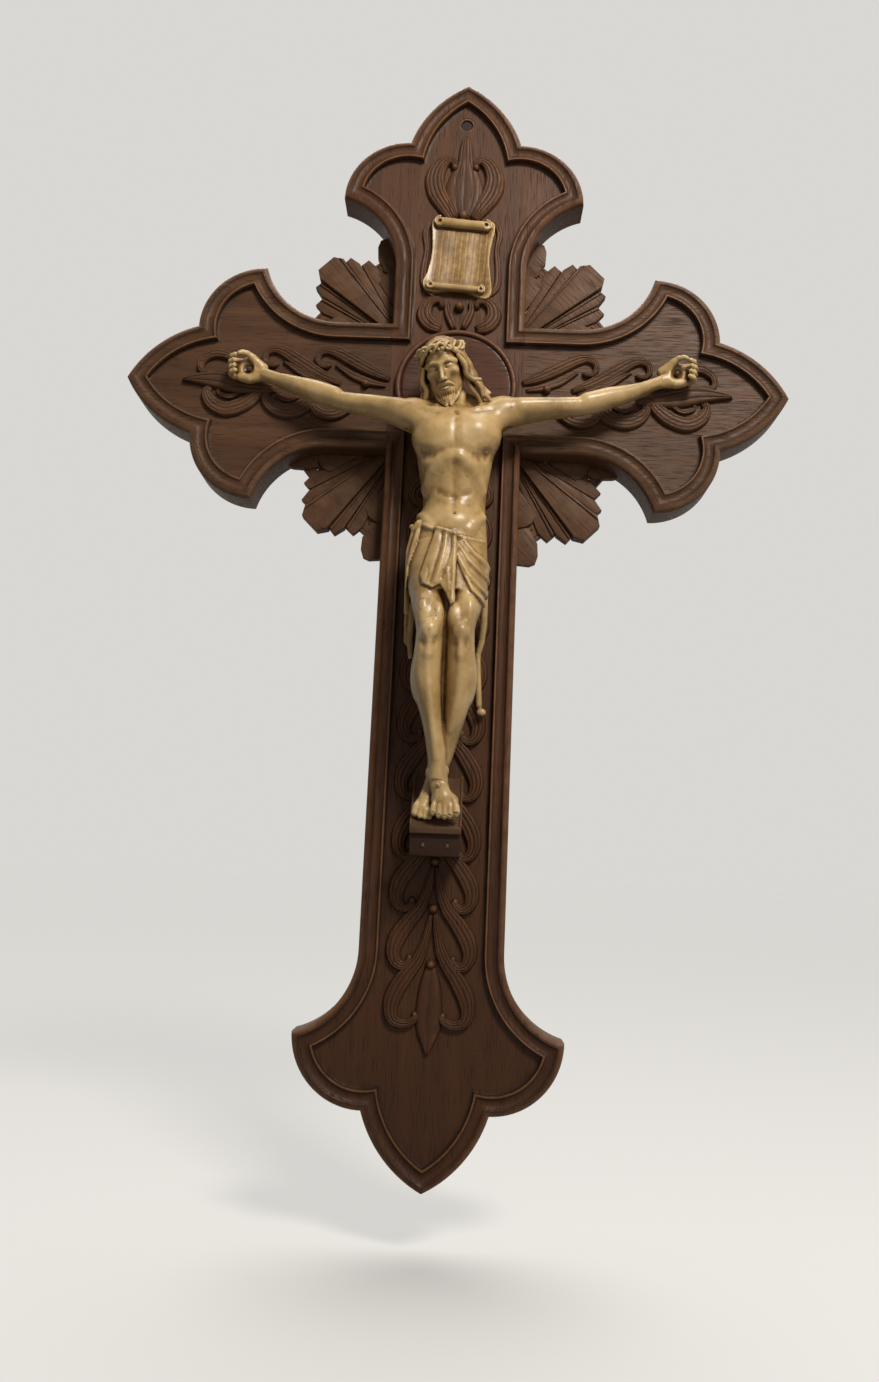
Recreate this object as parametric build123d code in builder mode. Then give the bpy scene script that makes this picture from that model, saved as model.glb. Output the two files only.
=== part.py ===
from build123d import *
import os
from math import cos, hypot, radians, sin, sqrt, tan

# A carved wooden wall crucifix: two boards halved together, with trefoil ends, a moulded border
# round a sunk field, ray panels in the four corners, leaf onlays, a halo, a scroll and a figure.
# The origin is the axis of the hanging hole on the back plane. +Z is up and the front faces -Y.

# Cross boards
TOP_REACH = 185.0       # crossing centre to the top tip
ARM_REACH = 181.0       # crossing centre to each side tip
FOOT_REACH = 415.0      # crossing centre to the foot tip
BEAM_WIDTH = 73.0
THICKNESS = 20.0
# Trefoil ends, as shares of the arms' reach
TIP_SHARE = 0.2044      # pointed tip beyond the re-entrant notches
NOTCH_SHARE = 0.174     # half the width between the two notches
LOBE_SHARE = 0.1989     # radius of the round side lobes
NECK_SHARE = 0.2265     # length of the hollow curve from lobe tip to straight edge
BULGE_SHARE = 0.0276    # rise of the arc from notch to tip
# Moulded border, halved joint and hanging hole
BORDER = 10.2           # moulded border round the field
EDGE_ROUND = 3.0        # rounded outer edge of the border
HOLLOW_SIDE = 2.0       # width of each sloping side of the hollow along the border
HOLLOW_DEPTH = 1.0
EDGE_INNER = 0.6        # eased inner edge of the border
RECESS = 3.5            # field below the border
JOINT_GAP = 0.1         # fit of the halved joint
HOLE_DROP = 24.0        # top tip to the hanging hole
HOLE_RADIUS = 3.0
HOLE_CHAMFER = 1.0
DIAGONAL = 45.0         # degrees, half way between upright and crossbar

# Ray panels, measured from the edges of the boards
RAY_PANEL = 45.0        # board edge to the ray ends
RAY_STRIP = 57.0        # board edge to the end of the narrow strips
RAY_STRIP_WIDTH = 9.0
RAY_CORNER = 9.0        # corner taken off between the two long rays
RAY_PLATE = 6.0         # thickness of the plate
RAY_RIDGE = 2.5         # ridges above the plate
RAY_PITCH = 5.85        # degrees from one ridge to the next
RAY_COUNT = 5
RAY_TOOTH = 3.5         # depth of the teeth at the ray ends
PANEL_GAP = 0.1         # glue line between a panel and the boards

# Halo, scroll and leaf onlays, all on the field
HALO_CLEAR = 3.8        # rim to the corners of the border
HALO_RIM = 3.0
HALO_RISE = 4.0
HALO_DISH = 1.2
SCROLL_WIDTH = 34.0
SCROLL_SHARE = 0.335    # height, as a share of the room from the halo to the hanging hole
SCROLL_SHEET = 3.0
SCROLL_ROLL = 3.0       # radius of the rolled ends
SCROLL_TURN = -4.0      # degrees, right side low
LEAF_RISE = 3.0
LEAF_MARGIN = 2.3       # leaf edge to the border
STEM_HALF = 4.0
BEAD_RADIUS = 2.6
BEAD_RISE = 1.4
LEAF_GAP = 0.5          # between an onlay and the halo, scroll or foot block
SHAFT_PAIRS = 11
SHAFT_BEADS = 3         # beads, on the lowest pairs
SHAFT_TIP_ABOVE_FOOT = 64.0
SHAFT_TIP_LENGTH = 11.5
ARM_LEAF_TIP = 30.0     # tip of an arm onlay inside the side tip
ARM_LEAF_PAIRS = 3
ARM_LEAF_MARGIN = 5.5
ARM_TIP_LENGTH = 11.0
NECK_LEAF_SHARE = 0.79  # length of the leaves under the scroll, as a share of their width
TOP_LEAF_SHARE = 0.59   # side leaves over the scroll, as a share of the bud between them
TOP_BUD_HALF = 6.0
BUD_CLEAR = 3.7         # tip of the bud to the rim of the hanging hole
LEAF_SHOULDER = (0.30, 0.60)    # leaf outline as shares of its length and width
LEAF_SIDE = (0.68, 1.0)
LEAF_END = (0.97, 0.80)
LEAF_CURL = (0.88, 0.42)
LEAF_BACK = (0.68, 0.50)
LEAF_ROOT = (0.45, 0.0)

# Foot block
BLOCK_WIDTH = 25.0
BLOCK_DEPTH = 33.0
BLOCK_TOP = -212.6      # back edge of the sloping top, from the crossing centre
BLOCK_FALL = 28.0       # how far the top slopes down towards the front
BLOCK_FRONT = 13.5      # height of the front face

# Figure: heights are measured from the crossing centre, depths out from the figure's back
FIGURE_STANDOFF = 0.3   # figure clear of the leaf onlay and of the foot block
FRONT_CLEAR = 80.0      # cuts reach out past everything on the front
# Height, place to the right, depth of the middle, half width and half depth of each section
TORSO = (
    (-23.0, 1.0, 19.0, 14.0, 8.0),
    (-28.0, 2.3, 18.5, 22.5, 13.0),
    (-36.0, 2.5, 18.5, 23.0, 16.8),
    (-45.0, 1.7, 18.5, 20.4, 18.0),
    (-55.0, 1.7, 17.8, 18.8, 17.2),
    (-66.0, 1.9, 16.2, 17.0, 15.4),
    (-75.0, 2.2, 15.6, 16.4, 14.8),
    (-85.0, 1.0, 16.4, 18.4, 16.0),
    (-98.0, 0.2, 17.6, 20.1, 17.2),
    (-112.0, 0.2, 19.6, 20.3, 18.0),
    (-124.0, 0.8, 22.0, 19.0, 17.0),
)
LEFT_LEG = (
    (-112.0, -9.5, 21.0, 10.0, 14.0),
    (-129.0, -8.3, 27.0, 9.0, 13.0),
    (-147.0, -6.6, 33.5, 7.3, 12.0),
    (-157.0, -7.0, 32.5, 7.4, 11.5),
    (-168.0, -7.2, 30.5, 7.7, 11.2),
    (-178.0, -5.5, 29.5, 7.0, 10.4),
    (-188.0, -3.6, 28.5, 5.8, 9.0),
    (-198.0, -1.8, 28.0, 4.9, 7.6),
    (-208.0, -0.6, 27.0, 4.7, 6.8),
    (-216.0, -0.4, 26.5, 5.4, 6.8),
)
RIGHT_LEG = (
    (-112.0, 10.5, 21.0, 10.0, 14.0),
    (-129.0, 9.6, 26.5, 9.0, 12.5),
    (-147.0, 8.1, 32.0, 7.2, 11.5),
    (-157.0, 8.4, 31.0, 7.6, 11.0),
    (-168.0, 8.6, 29.0, 8.0, 11.0),
    (-178.0, 7.3, 27.0, 7.4, 10.0),
    (-188.0, 5.6, 24.5, 6.0, 8.6),
    (-198.0, 3.8, 21.5, 4.9, 7.2),
    (-207.0, 1.6, 18.5, 4.7, 6.6),
    (-213.0, -1.5, 16.5, 5.2, 6.6),
)
NECK = (
    (-27.0, 1.2, 20.0, 10.0, 9.0),
    (-19.0, -1.0, 24.0, 8.0, 8.5),
    (-10.0, -3.5, 28.0, 8.0, 8.5),
)
# Height above the middle of the head, half width, half depth and how far forward of its axis
HEAD = (
    (-22.5, 4.0, 4.0, 6.0),
    (-17.0, 7.5, 8.0, 4.0),
    (-8.0, 11.5, 13.5, 1.5),
    (2.0, 13.8, 16.0, 0.0),
    (11.0, 13.6, 15.6, 0.0),
    (17.0, 10.6, 12.2, 0.0),
    (20.5, 4.5, 5.2, 0.0),
)
# Share of the way to the palm, height, depth of the middle, half height and half depth along the arms
LEFT_ARM = (
    (0.124, -28.5, 18.0, 8.6, 9.0),
    (0.2124, -26.5, 18.0, 8.6, 8.8),
    (0.354, -22.0, 16.0, 6.6, 7.0),
    (0.5133, -18.0, 13.5, 5.6, 6.0),
    (0.6372, -13.0, 11.8, 5.8, 5.8),
    (0.7788, -7.0, 9.0, 5.0, 4.8),
    (0.9115, 0.0, 5.6, 4.4, 3.6),
    (0.9735, 2.5, 4.4, 8.0, 3.6),
    (1.0398, 4.0, 4.6, 8.2, 4.0),
    (1.0796, 4.5, 5.2, 5.4, 3.4),
)
RIGHT_ARM = (
    (0.1519, -26.0, 18.0, 8.6, 9.0),
    (0.2363, -23.5, 18.0, 8.6, 8.8),
    (0.3797, -20.0, 16.0, 6.6, 7.0),
    (0.5401, -16.5, 13.5, 5.6, 6.0),
    (0.6582, -12.0, 11.8, 5.8, 5.8),
    (0.7848, -6.0, 9.0, 5.0, 4.8),
    (0.9114, 2.6, 5.6, 4.4, 3.6),
    (0.9705, 6.5, 4.4, 8.0, 3.6),
    (1.0338, 8.8, 4.6, 8.2, 4.0),
    (1.0717, 9.6, 5.2, 5.4, 3.4),
)
# Place to the right, height, depth of the middle, half height and half depth along the hair
LEFT_LOCK = (
    (-15.0, 6.0, 30.0, 5.0, 7.0),
    (-20.0, -3.0, 27.0, 5.0, 7.0),
    (-20.5, -13.0, 25.0, 4.4, 6.0),
    (-17.0, -21.0, 26.0, 3.4, 4.0),
)
RIGHT_LOCK = (
    (4.0, 6.0, 30.0, 5.0, 7.0),
    (9.5, -2.0, 28.0, 5.0, 7.0),
    (13.0, -11.0, 27.0, 4.4, 6.0),
    (18.5, -19.0, 27.0, 3.4, 4.0),
)
FOOT_WIDTH = 21.0
FOOT_HEIGHT = 12.0      # instep above the sloping top of the block
FOOT_HEEL = 8.0         # heel to the back edge of the block's top
FOOT_OVERHANG = 3.0     # toes beyond the front of the block
FOOT_TOE = 5.0          # thickness of the toes
SHOULDER_LEFT = -20.5
SHOULDER_RIGHT = 25.5
SHOULDER_FLOOR = -42.0  # the shoulder cuts stop here
SHOULDER_DOWEL_Z = -26.0
SHOULDER_DOWEL_DEPTH = 18.0
SHOULDER_GAP = 0.1
HEAD_LEAN = -10.0       # degrees, top towards the left
HEAD_NOD = 10.0         # degrees, top back
HEAD_X = -5.0
HEAD_Z = -6.0
HEAD_DEPTH = 30.0
CROWN_RADIUS = 16.2
CROWN_WIRE = 2.3
CROWN_HEIGHT = 11.0     # above the middle of the head
CROWN_FIT = 0.15

# Nails, screws and dowels
NAIL_RADIUS = 1.2
NAIL_HEAD_RADIUS = 2.3
NAIL_HEAD = 1.2
NAIL_FIT = 0.08
NAIL_GRIP = 8.0         # length of nail in the board
LEFT_PALM_SHARE = 0.7455    # place of the palms along the arm onlays' leaves
RIGHT_PALM_SHARE = 0.7974
LEFT_PALM_Z = 2.5
RIGHT_PALM_Z = 8.0
PALM_FRONT = 8.2        # front of the palm above the figure's back
FOOT_NAIL = (0.0, -221.0)
FOOT_NAIL_FRONT = 33.0  # front of the instep above the figure's back
BLOCK_NAIL_SPREAD = 12.0
SCREW_RADIUS = 1.75
SCREW_HEAD_RADIUS = 3.6
SCREW_LENGTH = 13.0
SCREW_SPREAD = 40.0
CORPUS_SCREW_Z = -92.0
CORPUS_SCREW_BITE = 12.0
DOWEL_RADIUS = 1.5
DOWEL_LENGTH = 16.0
SHOULDER_DOWEL_RADIUS = 2.5
SHOULDER_DOWEL_LENGTH = 18.0
DOWEL_FIT = 0.08
PIN_RADIUS = 1.0
PIN_SPREAD = 24.0
PIN_DEPTH = 8.0

# Worked out from the sizes above
HALF = BEAM_WIDTH / 2
FIELD_HEIGHT = THICKNESS - RECESS
LAP = FIELD_HEIGHT / 2
CROSS_Z = HOLE_DROP - TOP_REACH
TIP_RISE = TIP_SHARE * ARM_REACH
NOTCH_HALF = NOTCH_SHARE * ARM_REACH
LOBE_RADIUS = LOBE_SHARE * ARM_REACH
NECK_RUN = NECK_SHARE * ARM_REACH
TIP_BULGE = BULGE_SHARE * ARM_REACH
LOBE_HALF = NOTCH_HALF + LOBE_RADIUS
POCKET_HALF = HALF - BORDER
HALO_RADIUS = POCKET_HALF * sqrt(2) - HALO_CLEAR
LEAF_HALF = POCKET_HALF - LEAF_MARGIN
LEAF_START = HALO_RADIUS + LEAF_GAP
TOP_ROOM = TOP_REACH - HOLE_DROP - HOLE_RADIUS - HOLE_CHAMFER - BUD_CLEAR - LEAF_START
NECK_LEAF_RISE = NECK_LEAF_SHARE * LEAF_HALF
SCROLL_HEIGHT = SCROLL_SHARE * TOP_ROOM
SCROLL_REACH = SCROLL_HEIGHT / 2 + SCROLL_ROLL + SCROLL_WIDTH / 2 * sin(radians(abs(SCROLL_TURN)))
SCROLL_Z = LEAF_START + NECK_LEAF_RISE + LEAF_GAP + SCROLL_REACH
TOP_START = SCROLL_Z + SCROLL_REACH + LEAF_GAP
TOP_BUD_RISE = LEAF_START + TOP_ROOM - TOP_START
TOP_LEAF_RISE = TOP_LEAF_SHARE * TOP_BUD_RISE
ARM_TIP = ARM_REACH - ARM_LEAF_TIP
ARM_END = ARM_TIP - ARM_TIP_LENGTH
LEFT_PALM = (-LEAF_START - LEFT_PALM_SHARE * (ARM_END - LEAF_START), LEFT_PALM_Z)
RIGHT_PALM = (LEAF_START + RIGHT_PALM_SHARE * (ARM_END - LEAF_START), RIGHT_PALM_Z)
FIGURE_BACK = LEAF_RISE + FIGURE_STANDOFF

# Sketches on these planes have x to the right and y up, and extrude towards the viewer
CROSS = Plane(origin=(0, 0, CROSS_Z), x_dir=(1, 0, 0), z_dir=(0, -1, 0))
FIELD = CROSS.offset(FIELD_HEIGHT)
FIGURE = FIELD.offset(FIGURE_BACK)

os.makedirs("parts", exist_ok=True)


def finish(builder, name):
    """Label one finished piece and write it."""
    builder.part.label = name
    export_step(builder.part, f"parts/{name}.step")


def meet(first, first_radius, second, second_radius):
    """The outer of the two points where two circles cross."""
    gap = second - first
    along = (first_radius**2 - second_radius**2 + gap.length**2) / (2 * gap.length)
    away = sqrt(first_radius**2 - along**2)
    direction = gap.normalized()
    middle = first + direction * along
    sideways = Vector(-direction.Y, direction.X) * away
    return max(middle + sideways, middle - sideways, key=lambda point: point.X + point.Y)


def arm_outline(reach, turn, inset):
    """Edge of one arm, moved in by inset: straight sides, hollow necks, round lobes and a pointed tip."""
    notch = reach - TIP_RISE
    lobe = notch - LOBE_RADIUS
    neck = lobe - NECK_RUN
    flare = LOBE_HALF - HALF
    neck_radius = (NECK_RUN**2 + flare**2) / (2 * flare)
    chord = hypot(TIP_RISE, NOTCH_HALF)
    tip_radius = (chord**2 / 4 + TIP_BULGE**2) / (2 * TIP_BULGE)
    sink = (tip_radius - TIP_BULGE) / chord
    neck_centre = Vector(neck, HALF + neck_radius)
    lobe_centre = Vector(lobe, NOTCH_HALF)
    tip_centre = Vector(notch + TIP_RISE / 2 - sink * NOTCH_HALF, NOTCH_HALF / 2 - sink * TIP_RISE)
    edge = HALF - inset
    corner = Vector(edge, edge)
    neck_start = Vector(neck, edge)
    lobe_tip = meet(neck_centre, neck_radius + inset, lobe_centre, LOBE_RADIUS - inset)
    notch_point = meet(lobe_centre, LOBE_RADIUS - inset, tip_centre, tip_radius - inset)
    tip = Vector(tip_centre.X + sqrt((tip_radius - inset) ** 2 - tip_centre.Y**2), 0)
    arcs = (
        (neck_centre, neck_radius + inset, neck_start, lobe_tip),
        (lobe_centre, LOBE_RADIUS - inset, lobe_tip, notch_point),
        (tip_centre, tip_radius - inset, notch_point, tip),
    )
    for side in (-1, 1):
        def spot(point):
            return Vector(point.X, side * point.Y).rotate(Axis.Z, turn)

        Line(spot(corner), spot(neck_start))
        for centre, radius, start, end in arcs:
            middle = centre + (start + end - centre * 2).normalized() * radius
            ThreePointArc(spot(start), spot(middle), spot(end))


def cross_face(inset=0.0):
    """The outline of the cross, moved in by inset, as a face of the sketch."""
    with BuildLine() as outline:
        arm_outline(ARM_REACH, 0, inset)
        arm_outline(TOP_REACH, 90, inset)
        arm_outline(ARM_REACH, 180, inset)
        arm_outline(FOOT_REACH, 270, inset)
    make_face(outline.edges())


def bar(plane, places, radius, start, end, mode=Mode.ADD):
    """Round bars or holes square to a plane, at places on it, from one height to another."""
    with BuildSketch(plane.offset(start)) as section:
        with Locations(*places):
            Circle(radius)
    extrude(section.sketch, amount=end - start, mode=mode)


def screw_shape(places, length, fit=0.0, mode=Mode.ADD):
    """Countersunk screws driven from the back of the cross."""
    for across, up in places:
        head = CROSS.from_local_coords((across, up, 0))
        with BuildSketch(Plane(head, x_dir=(1, 0, 0), z_dir=(0, 0, 1))) as section:
            with BuildLine():
                Polyline(
                    (0, 0),
                    (SCREW_HEAD_RADIUS + fit, 0),
                    (SCREW_RADIUS + fit, SCREW_RADIUS - SCREW_HEAD_RADIUS),
                    (SCREW_RADIUS + fit, SCREW_RADIUS - length - fit),
                    (0, -length - fit),
                    close=True,
                )
            make_face()
        revolve(section.sketch, axis=Axis(head, (0, 1, 0)), mode=mode)


corners = [(right, up) for up in (1, -1) for right in (-1, 1)]
lap_screws = [(right * SCREW_SPREAD / 2, up * SCREW_SPREAD / 2) for right, up in corners]
corpus_screw = [(0, CORPUS_SCREW_Z)]
corpus_screw_length = FIELD_HEIGHT + FIGURE_BACK + CORPUS_SCREW_BITE
scroll_pins = [(0, SCROLL_Z - PIN_SPREAD / 2), (0, SCROLL_Z + PIN_SPREAD / 2)]
block_bottom = BLOCK_TOP - BLOCK_FALL - BLOCK_FRONT
block_nails = [(side * BLOCK_NAIL_SPREAD / 2, block_bottom + BLOCK_FRONT / 2) for side in (-1, 1)]
palms = [LEFT_PALM, RIGHT_PALM]
nail_hole = NAIL_RADIUS + NAIL_FIT
nail_seat = NAIL_HEAD_RADIUS + NAIL_FIT

# Ray panel dowels: one into the upright and one into the crossbar for each panel
dowel_height = RAY_PLATE / 2
dowel_along = HALF + RAY_STRIP_WIDTH + DOWEL_LENGTH / 2


def ray_dowels(right, up, fit=0.0, mode=Mode.ADD):
    """The two dowels of the panel in one corner of the cross."""
    for across, rise in ((1, 0), (0, 1)):
        start = HALF - DOWEL_LENGTH / 2 - fit
        middle = (right * (across * start + rise * dowel_along), up * (rise * start + across * dowel_along))
        base = CROSS.from_local_coords((*middle, dowel_height))
        with BuildSketch(Plane(base, z_dir=(right * across, 0, up * rise))) as section:
            Circle(DOWEL_RADIUS + fit)
        extrude(section.sketch, amount=DOWEL_LENGTH + 2 * fit, mode=mode)


# Section of the moulded border, from the back of the board to the sunk field: inset and height
round_mid = EDGE_ROUND * (1 - cos(radians(DIAGONAL)))
border_section = (
    (0, 0),
    (0, THICKNESS - EDGE_ROUND),
    (round_mid, THICKNESS - round_mid),
    (EDGE_ROUND, THICKNESS),
    (EDGE_ROUND + HOLLOW_SIDE, THICKNESS - HOLLOW_DEPTH),
    (BORDER - EDGE_INNER - HOLLOW_SIDE, THICKNESS - HOLLOW_DEPTH),
    (BORDER - EDGE_INNER, THICKNESS),
    (BORDER, THICKNESS - EDGE_INNER),
    (BORDER, FIELD_HEIGHT),
)

# The cross as glued up, before it is shared between its two boards
with BuildPart() as blank:
    for inset, height in border_section:
        with BuildSketch(CROSS.offset(height)):
            cross_face(inset)
    loft(ruled=True)



def arm_shares(gap):
    """The two arms' part of the cross: from the edge of the upright out, between the diagonals."""
    near = HALF + gap
    far = ARM_REACH + BORDER
    for side in (-1, 1):
        with BuildLine() as edge:
            Polyline((side * near, -near), (side * far, -far), (side * far, far), (side * near, near), close=True)
        make_face(edge.edges())


# Upright: keeps the front of the crossing, with the halving cut from behind
with BuildPart() as upright:
    add(blank.part)
    with BuildSketch(CROSS):
        arm_shares(0)
    extrude(amount=THICKNESS, mode=Mode.SUBTRACT)
    with BuildSketch(CROSS):
        Rectangle(BEAM_WIDTH, BEAM_WIDTH + 2 * JOINT_GAP)
    extrude(amount=LAP, mode=Mode.SUBTRACT)
    bar(CROSS, [(0, -CROSS_Z)], HOLE_RADIUS, 0, FIELD_HEIGHT, mode=Mode.SUBTRACT)
    mouth = upright.edges().filter_by(GeomType.CIRCLE).filter_by(
        lambda edge: abs(edge.radius - HOLE_RADIUS) < 0.01 and abs(edge.center().Y + FIELD_HEIGHT) < 0.01
    )
    chamfer(mouth, HOLE_CHAMFER)
    screw_shape(lap_screws, SCREW_LENGTH, NAIL_FIT, mode=Mode.SUBTRACT)
    screw_shape(corpus_screw, corpus_screw_length, NAIL_FIT, mode=Mode.SUBTRACT)
    bar(FIELD, scroll_pins, PIN_RADIUS + NAIL_FIT, -PIN_DEPTH - NAIL_FIT, 0, mode=Mode.SUBTRACT)
    bar(FIELD, block_nails, nail_hole, -NAIL_GRIP - NAIL_FIT, 0, mode=Mode.SUBTRACT)
    for right, up in corners:
        ray_dowels(right, up, DOWEL_FIT, mode=Mode.SUBTRACT)
finish(upright, "upright")

# Crossbar: keeps the back of the crossing
with BuildPart() as crossbar:
    with BuildSketch(CROSS):
        arm_shares(JOINT_GAP)
    extrude(amount=THICKNESS)
    with BuildSketch(CROSS):
        Rectangle(BEAM_WIDTH + 4 * JOINT_GAP, BEAM_WIDTH)
    extrude(amount=LAP - JOINT_GAP)
    add(blank.part, mode=Mode.INTERSECT)
    screw_shape(lap_screws, SCREW_LENGTH, NAIL_FIT, mode=Mode.SUBTRACT)
    bar(FIELD, palms, nail_hole, -NAIL_GRIP - NAIL_FIT, 0, mode=Mode.SUBTRACT)
    for right, up in corners:
        ray_dowels(right, up, DOWEL_FIT, mode=Mode.SUBTRACT)
finish(crossbar, "crossbar")

# Ray panels: a toothed plate with a fan of ridged rays, glued and dowelled into each corner
ray_inner = HALF + PANEL_GAP
ray_outer = HALF + RAY_PANEL
ray_valley = ray_outer - RAY_TOOTH
strip_end = HALF + RAY_STRIP
strip_side = HALF + RAY_STRIP_WIDTH
fan_start = DIAGONAL - RAY_PITCH * RAY_COUNT / 2
half_edge = [
    (ray_inner, ray_inner),
    (strip_end, ray_inner),
    (strip_end, strip_side),
    (ray_valley, strip_side),
]
for ray in range(RAY_COUNT // 2):
    low = radians(fan_start + ray * RAY_PITCH)
    middle = low + radians(RAY_PITCH / 2)
    half_edge.append((ray_valley, ray_valley * tan(low)))
    half_edge.append((ray_outer, ray_outer * tan(middle)))
half_edge.append((ray_valley, ray_valley * tan(radians(DIAGONAL - RAY_PITCH / 2))))
half_edge.append((ray_outer, ray_outer - RAY_CORNER))
panel_edge = half_edge + [(rise, across) for across, rise in reversed(half_edge[1:])]


def ray_ridge(right, up, angle):
    """One ridge of the fan, from the crossing outwards, as high as its width allows."""
    steep = max(cos(radians(angle)), sin(radians(angle)))
    sketches = []
    for reach in (HALF, ray_valley / steep):
        half_width = reach * tan(radians(RAY_PITCH / 2))
        height = RAY_RIDGE * reach * steep / ray_valley
        away = Vector(right * cos(radians(angle)), up * sin(radians(angle)))
        base = CROSS.from_local_coords((away.X * reach, away.Y * reach, RAY_PLATE))
        across = Vector(-away.Y, 0, away.X)
        with BuildSketch(Plane(base, x_dir=across, z_dir=across.cross(Vector(0, -1, 0)))) as section:
            with BuildLine():
                Polyline((-half_width, 0), (half_width, 0), (0, height), close=True)
            make_face()
        sketches.append(section.sketch)
    loft(sketches, ruled=True)


for right, up in corners:
    with BuildPart() as ray_panel:
        with BuildSketch(CROSS):
            with BuildLine():
                Polyline(*[(right * across, up * rise) for across, rise in panel_edge], close=True)
            make_face()
        extrude(amount=RAY_PLATE)
        for ray in range(RAY_COUNT):
            ray_ridge(right, up, fan_start + (ray + 0.5) * RAY_PITCH)
        with BuildSketch(CROSS):
            cross_face(-PANEL_GAP)
        extrude(amount=THICKNESS, mode=Mode.SUBTRACT)
        ray_dowels(right, up, DOWEL_FIT, mode=Mode.SUBTRACT)
    finish(ray_panel, f"ray_panel_{'upper' if up > 0 else 'lower'}_{'right' if right > 0 else 'left'}")

with BuildPart() as panel_dowels:
    for right, up in corners:
        ray_dowels(right, up)
finish(panel_dowels, "ray_panel_dowels")

# Screws that draw the halved joint together from the back
with BuildPart() as lap_joint_screws:
    screw_shape(lap_screws, SCREW_LENGTH)
finish(lap_joint_screws, "lap_joint_screws")

# Halo: a turned disc with a raised rim, glued on the field at the crossing
with BuildPart() as halo:
    with BuildSketch(Plane(FIELD.origin, x_dir=(1, 0, 0), z_dir=(0, 0, 1))):
        with BuildLine():
            Polyline(
                (0, 0),
                (HALO_RADIUS, 0),
                (HALO_RADIUS, -HALO_RISE),
                (HALO_RADIUS - HALO_RIM, -HALO_RISE),
                (HALO_RADIUS - HALO_RIM - HALO_DISH, HALO_DISH - HALO_RISE),
                (0, HALO_DISH - HALO_RISE),
                close=True,
            )
        make_face()
    revolve(axis=Axis(FIELD.origin, (0, 1, 0)))
finish(halo, "halo_disc")

# Scroll: a bare sheet with rolled ends, pinned a little askew above the halo
scroll_place = Plane(
    FIELD.from_local_coords((0, SCROLL_Z, 0)),
    x_dir=(cos(radians(SCROLL_TURN)), 0, sin(radians(SCROLL_TURN))),
    z_dir=FIELD.z_dir,
)
with BuildPart() as scroll:
    with BuildSketch(scroll_place):
        Rectangle(SCROLL_WIDTH, SCROLL_HEIGHT)
    extrude(amount=SCROLL_SHEET)
    for end in (-1, 1):
        roll_end = (-SCROLL_WIDTH / 2, end * SCROLL_HEIGHT / 2, SCROLL_ROLL)
        with BuildSketch(Plane(scroll_place.from_local_coords(roll_end), z_dir=scroll_place.x_dir)):
            Circle(SCROLL_ROLL)
        extrude(amount=SCROLL_WIDTH)
    bar(FIELD, scroll_pins, PIN_RADIUS + NAIL_FIT, 0, SCROLL_SHEET / 2, mode=Mode.SUBTRACT)
finish(scroll, "title_scroll")

with BuildPart() as title_pins:
    bar(FIELD, scroll_pins, PIN_RADIUS, -PIN_DEPTH, SCROLL_SHEET / 2 - NAIL_FIT)
finish(title_pins, "title_scroll_pins")


def leaf_pair(start, length, width, turn):
    """Two leaves that leave the stem, swing out and curl back in at the end."""
    for side in (-1, 1):
        def spot(share):
            return Vector(start + share[0] * length, side * share[1] * width).rotate(Axis.Z, turn)

        with BuildLine() as edge:
            ThreePointArc(spot((0, 0)), spot(LEAF_SHOULDER), spot(LEAF_SIDE))
            ThreePointArc(spot(LEAF_SIDE), spot(LEAF_END), spot(LEAF_CURL))
            ThreePointArc(spot(LEAF_CURL), spot(LEAF_BACK), spot(LEAF_ROOT))
            Line(spot(LEAF_ROOT), spot((0, 0)))
        make_face(edge.edges())


def stem(start, end, tip, half, turn):
    """The straight stem of an onlay, ending in a point."""
    outline = ((start, -half), (end, -half), (tip, 0), (end, half), (start, half))
    with BuildLine() as edge:
        Polyline(*[Vector(*point).rotate(Axis.Z, turn) for point in outline], close=True)
    make_face(edge.edges())


def chain(start, end, tip, pairs, width, turn):
    """A stem with leaf pairs along it."""
    pitch = (end - start) / pairs
    stem(start, end, tip, STEM_HALF, turn)
    for pair in range(pairs):
        leaf_pair(start + pair * pitch, pitch, width, turn)


# Leaf onlays, glued on the field
shaft_tip = FOOT_REACH - SHAFT_TIP_ABOVE_FOOT
shaft_end = shaft_tip - SHAFT_TIP_LENGTH
shaft_pitch = (shaft_end - LEAF_START) / SHAFT_PAIRS
with BuildPart() as shaft_leaves:
    with BuildSketch(FIELD):
        chain(LEAF_START, shaft_end, shaft_tip, SHAFT_PAIRS, LEAF_HALF, 270)
    extrude(amount=LEAF_RISE)
    beads = [(0, shaft_pitch * (pair + 1) - shaft_end - BEAD_RADIUS) for pair in range(SHAFT_BEADS)]
    bar(FIELD, beads, BEAD_RADIUS, 0, LEAF_RISE + BEAD_RISE)
    bar(FIELD, corpus_screw, SCREW_RADIUS + NAIL_FIT, 0, LEAF_RISE, mode=Mode.SUBTRACT)
    bar(FIELD, block_nails, nail_hole, 0, LEAF_RISE, mode=Mode.SUBTRACT)
finish(shaft_leaves, "shaft_leaf_onlay")

arm_leaf_half = POCKET_HALF - ARM_LEAF_MARGIN
for side, turn, palm in (("left", 180, LEFT_PALM), ("right", 0, RIGHT_PALM)):
    with BuildPart() as arm_leaves:
        with BuildSketch(FIELD):
            chain(LEAF_START, ARM_END, ARM_TIP, ARM_LEAF_PAIRS, arm_leaf_half, turn)
        extrude(amount=LEAF_RISE)
        bar(FIELD, [palm], nail_hole, 0, LEAF_RISE, mode=Mode.SUBTRACT)
    finish(arm_leaves, f"{side}_arm_leaf_onlay")

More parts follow.
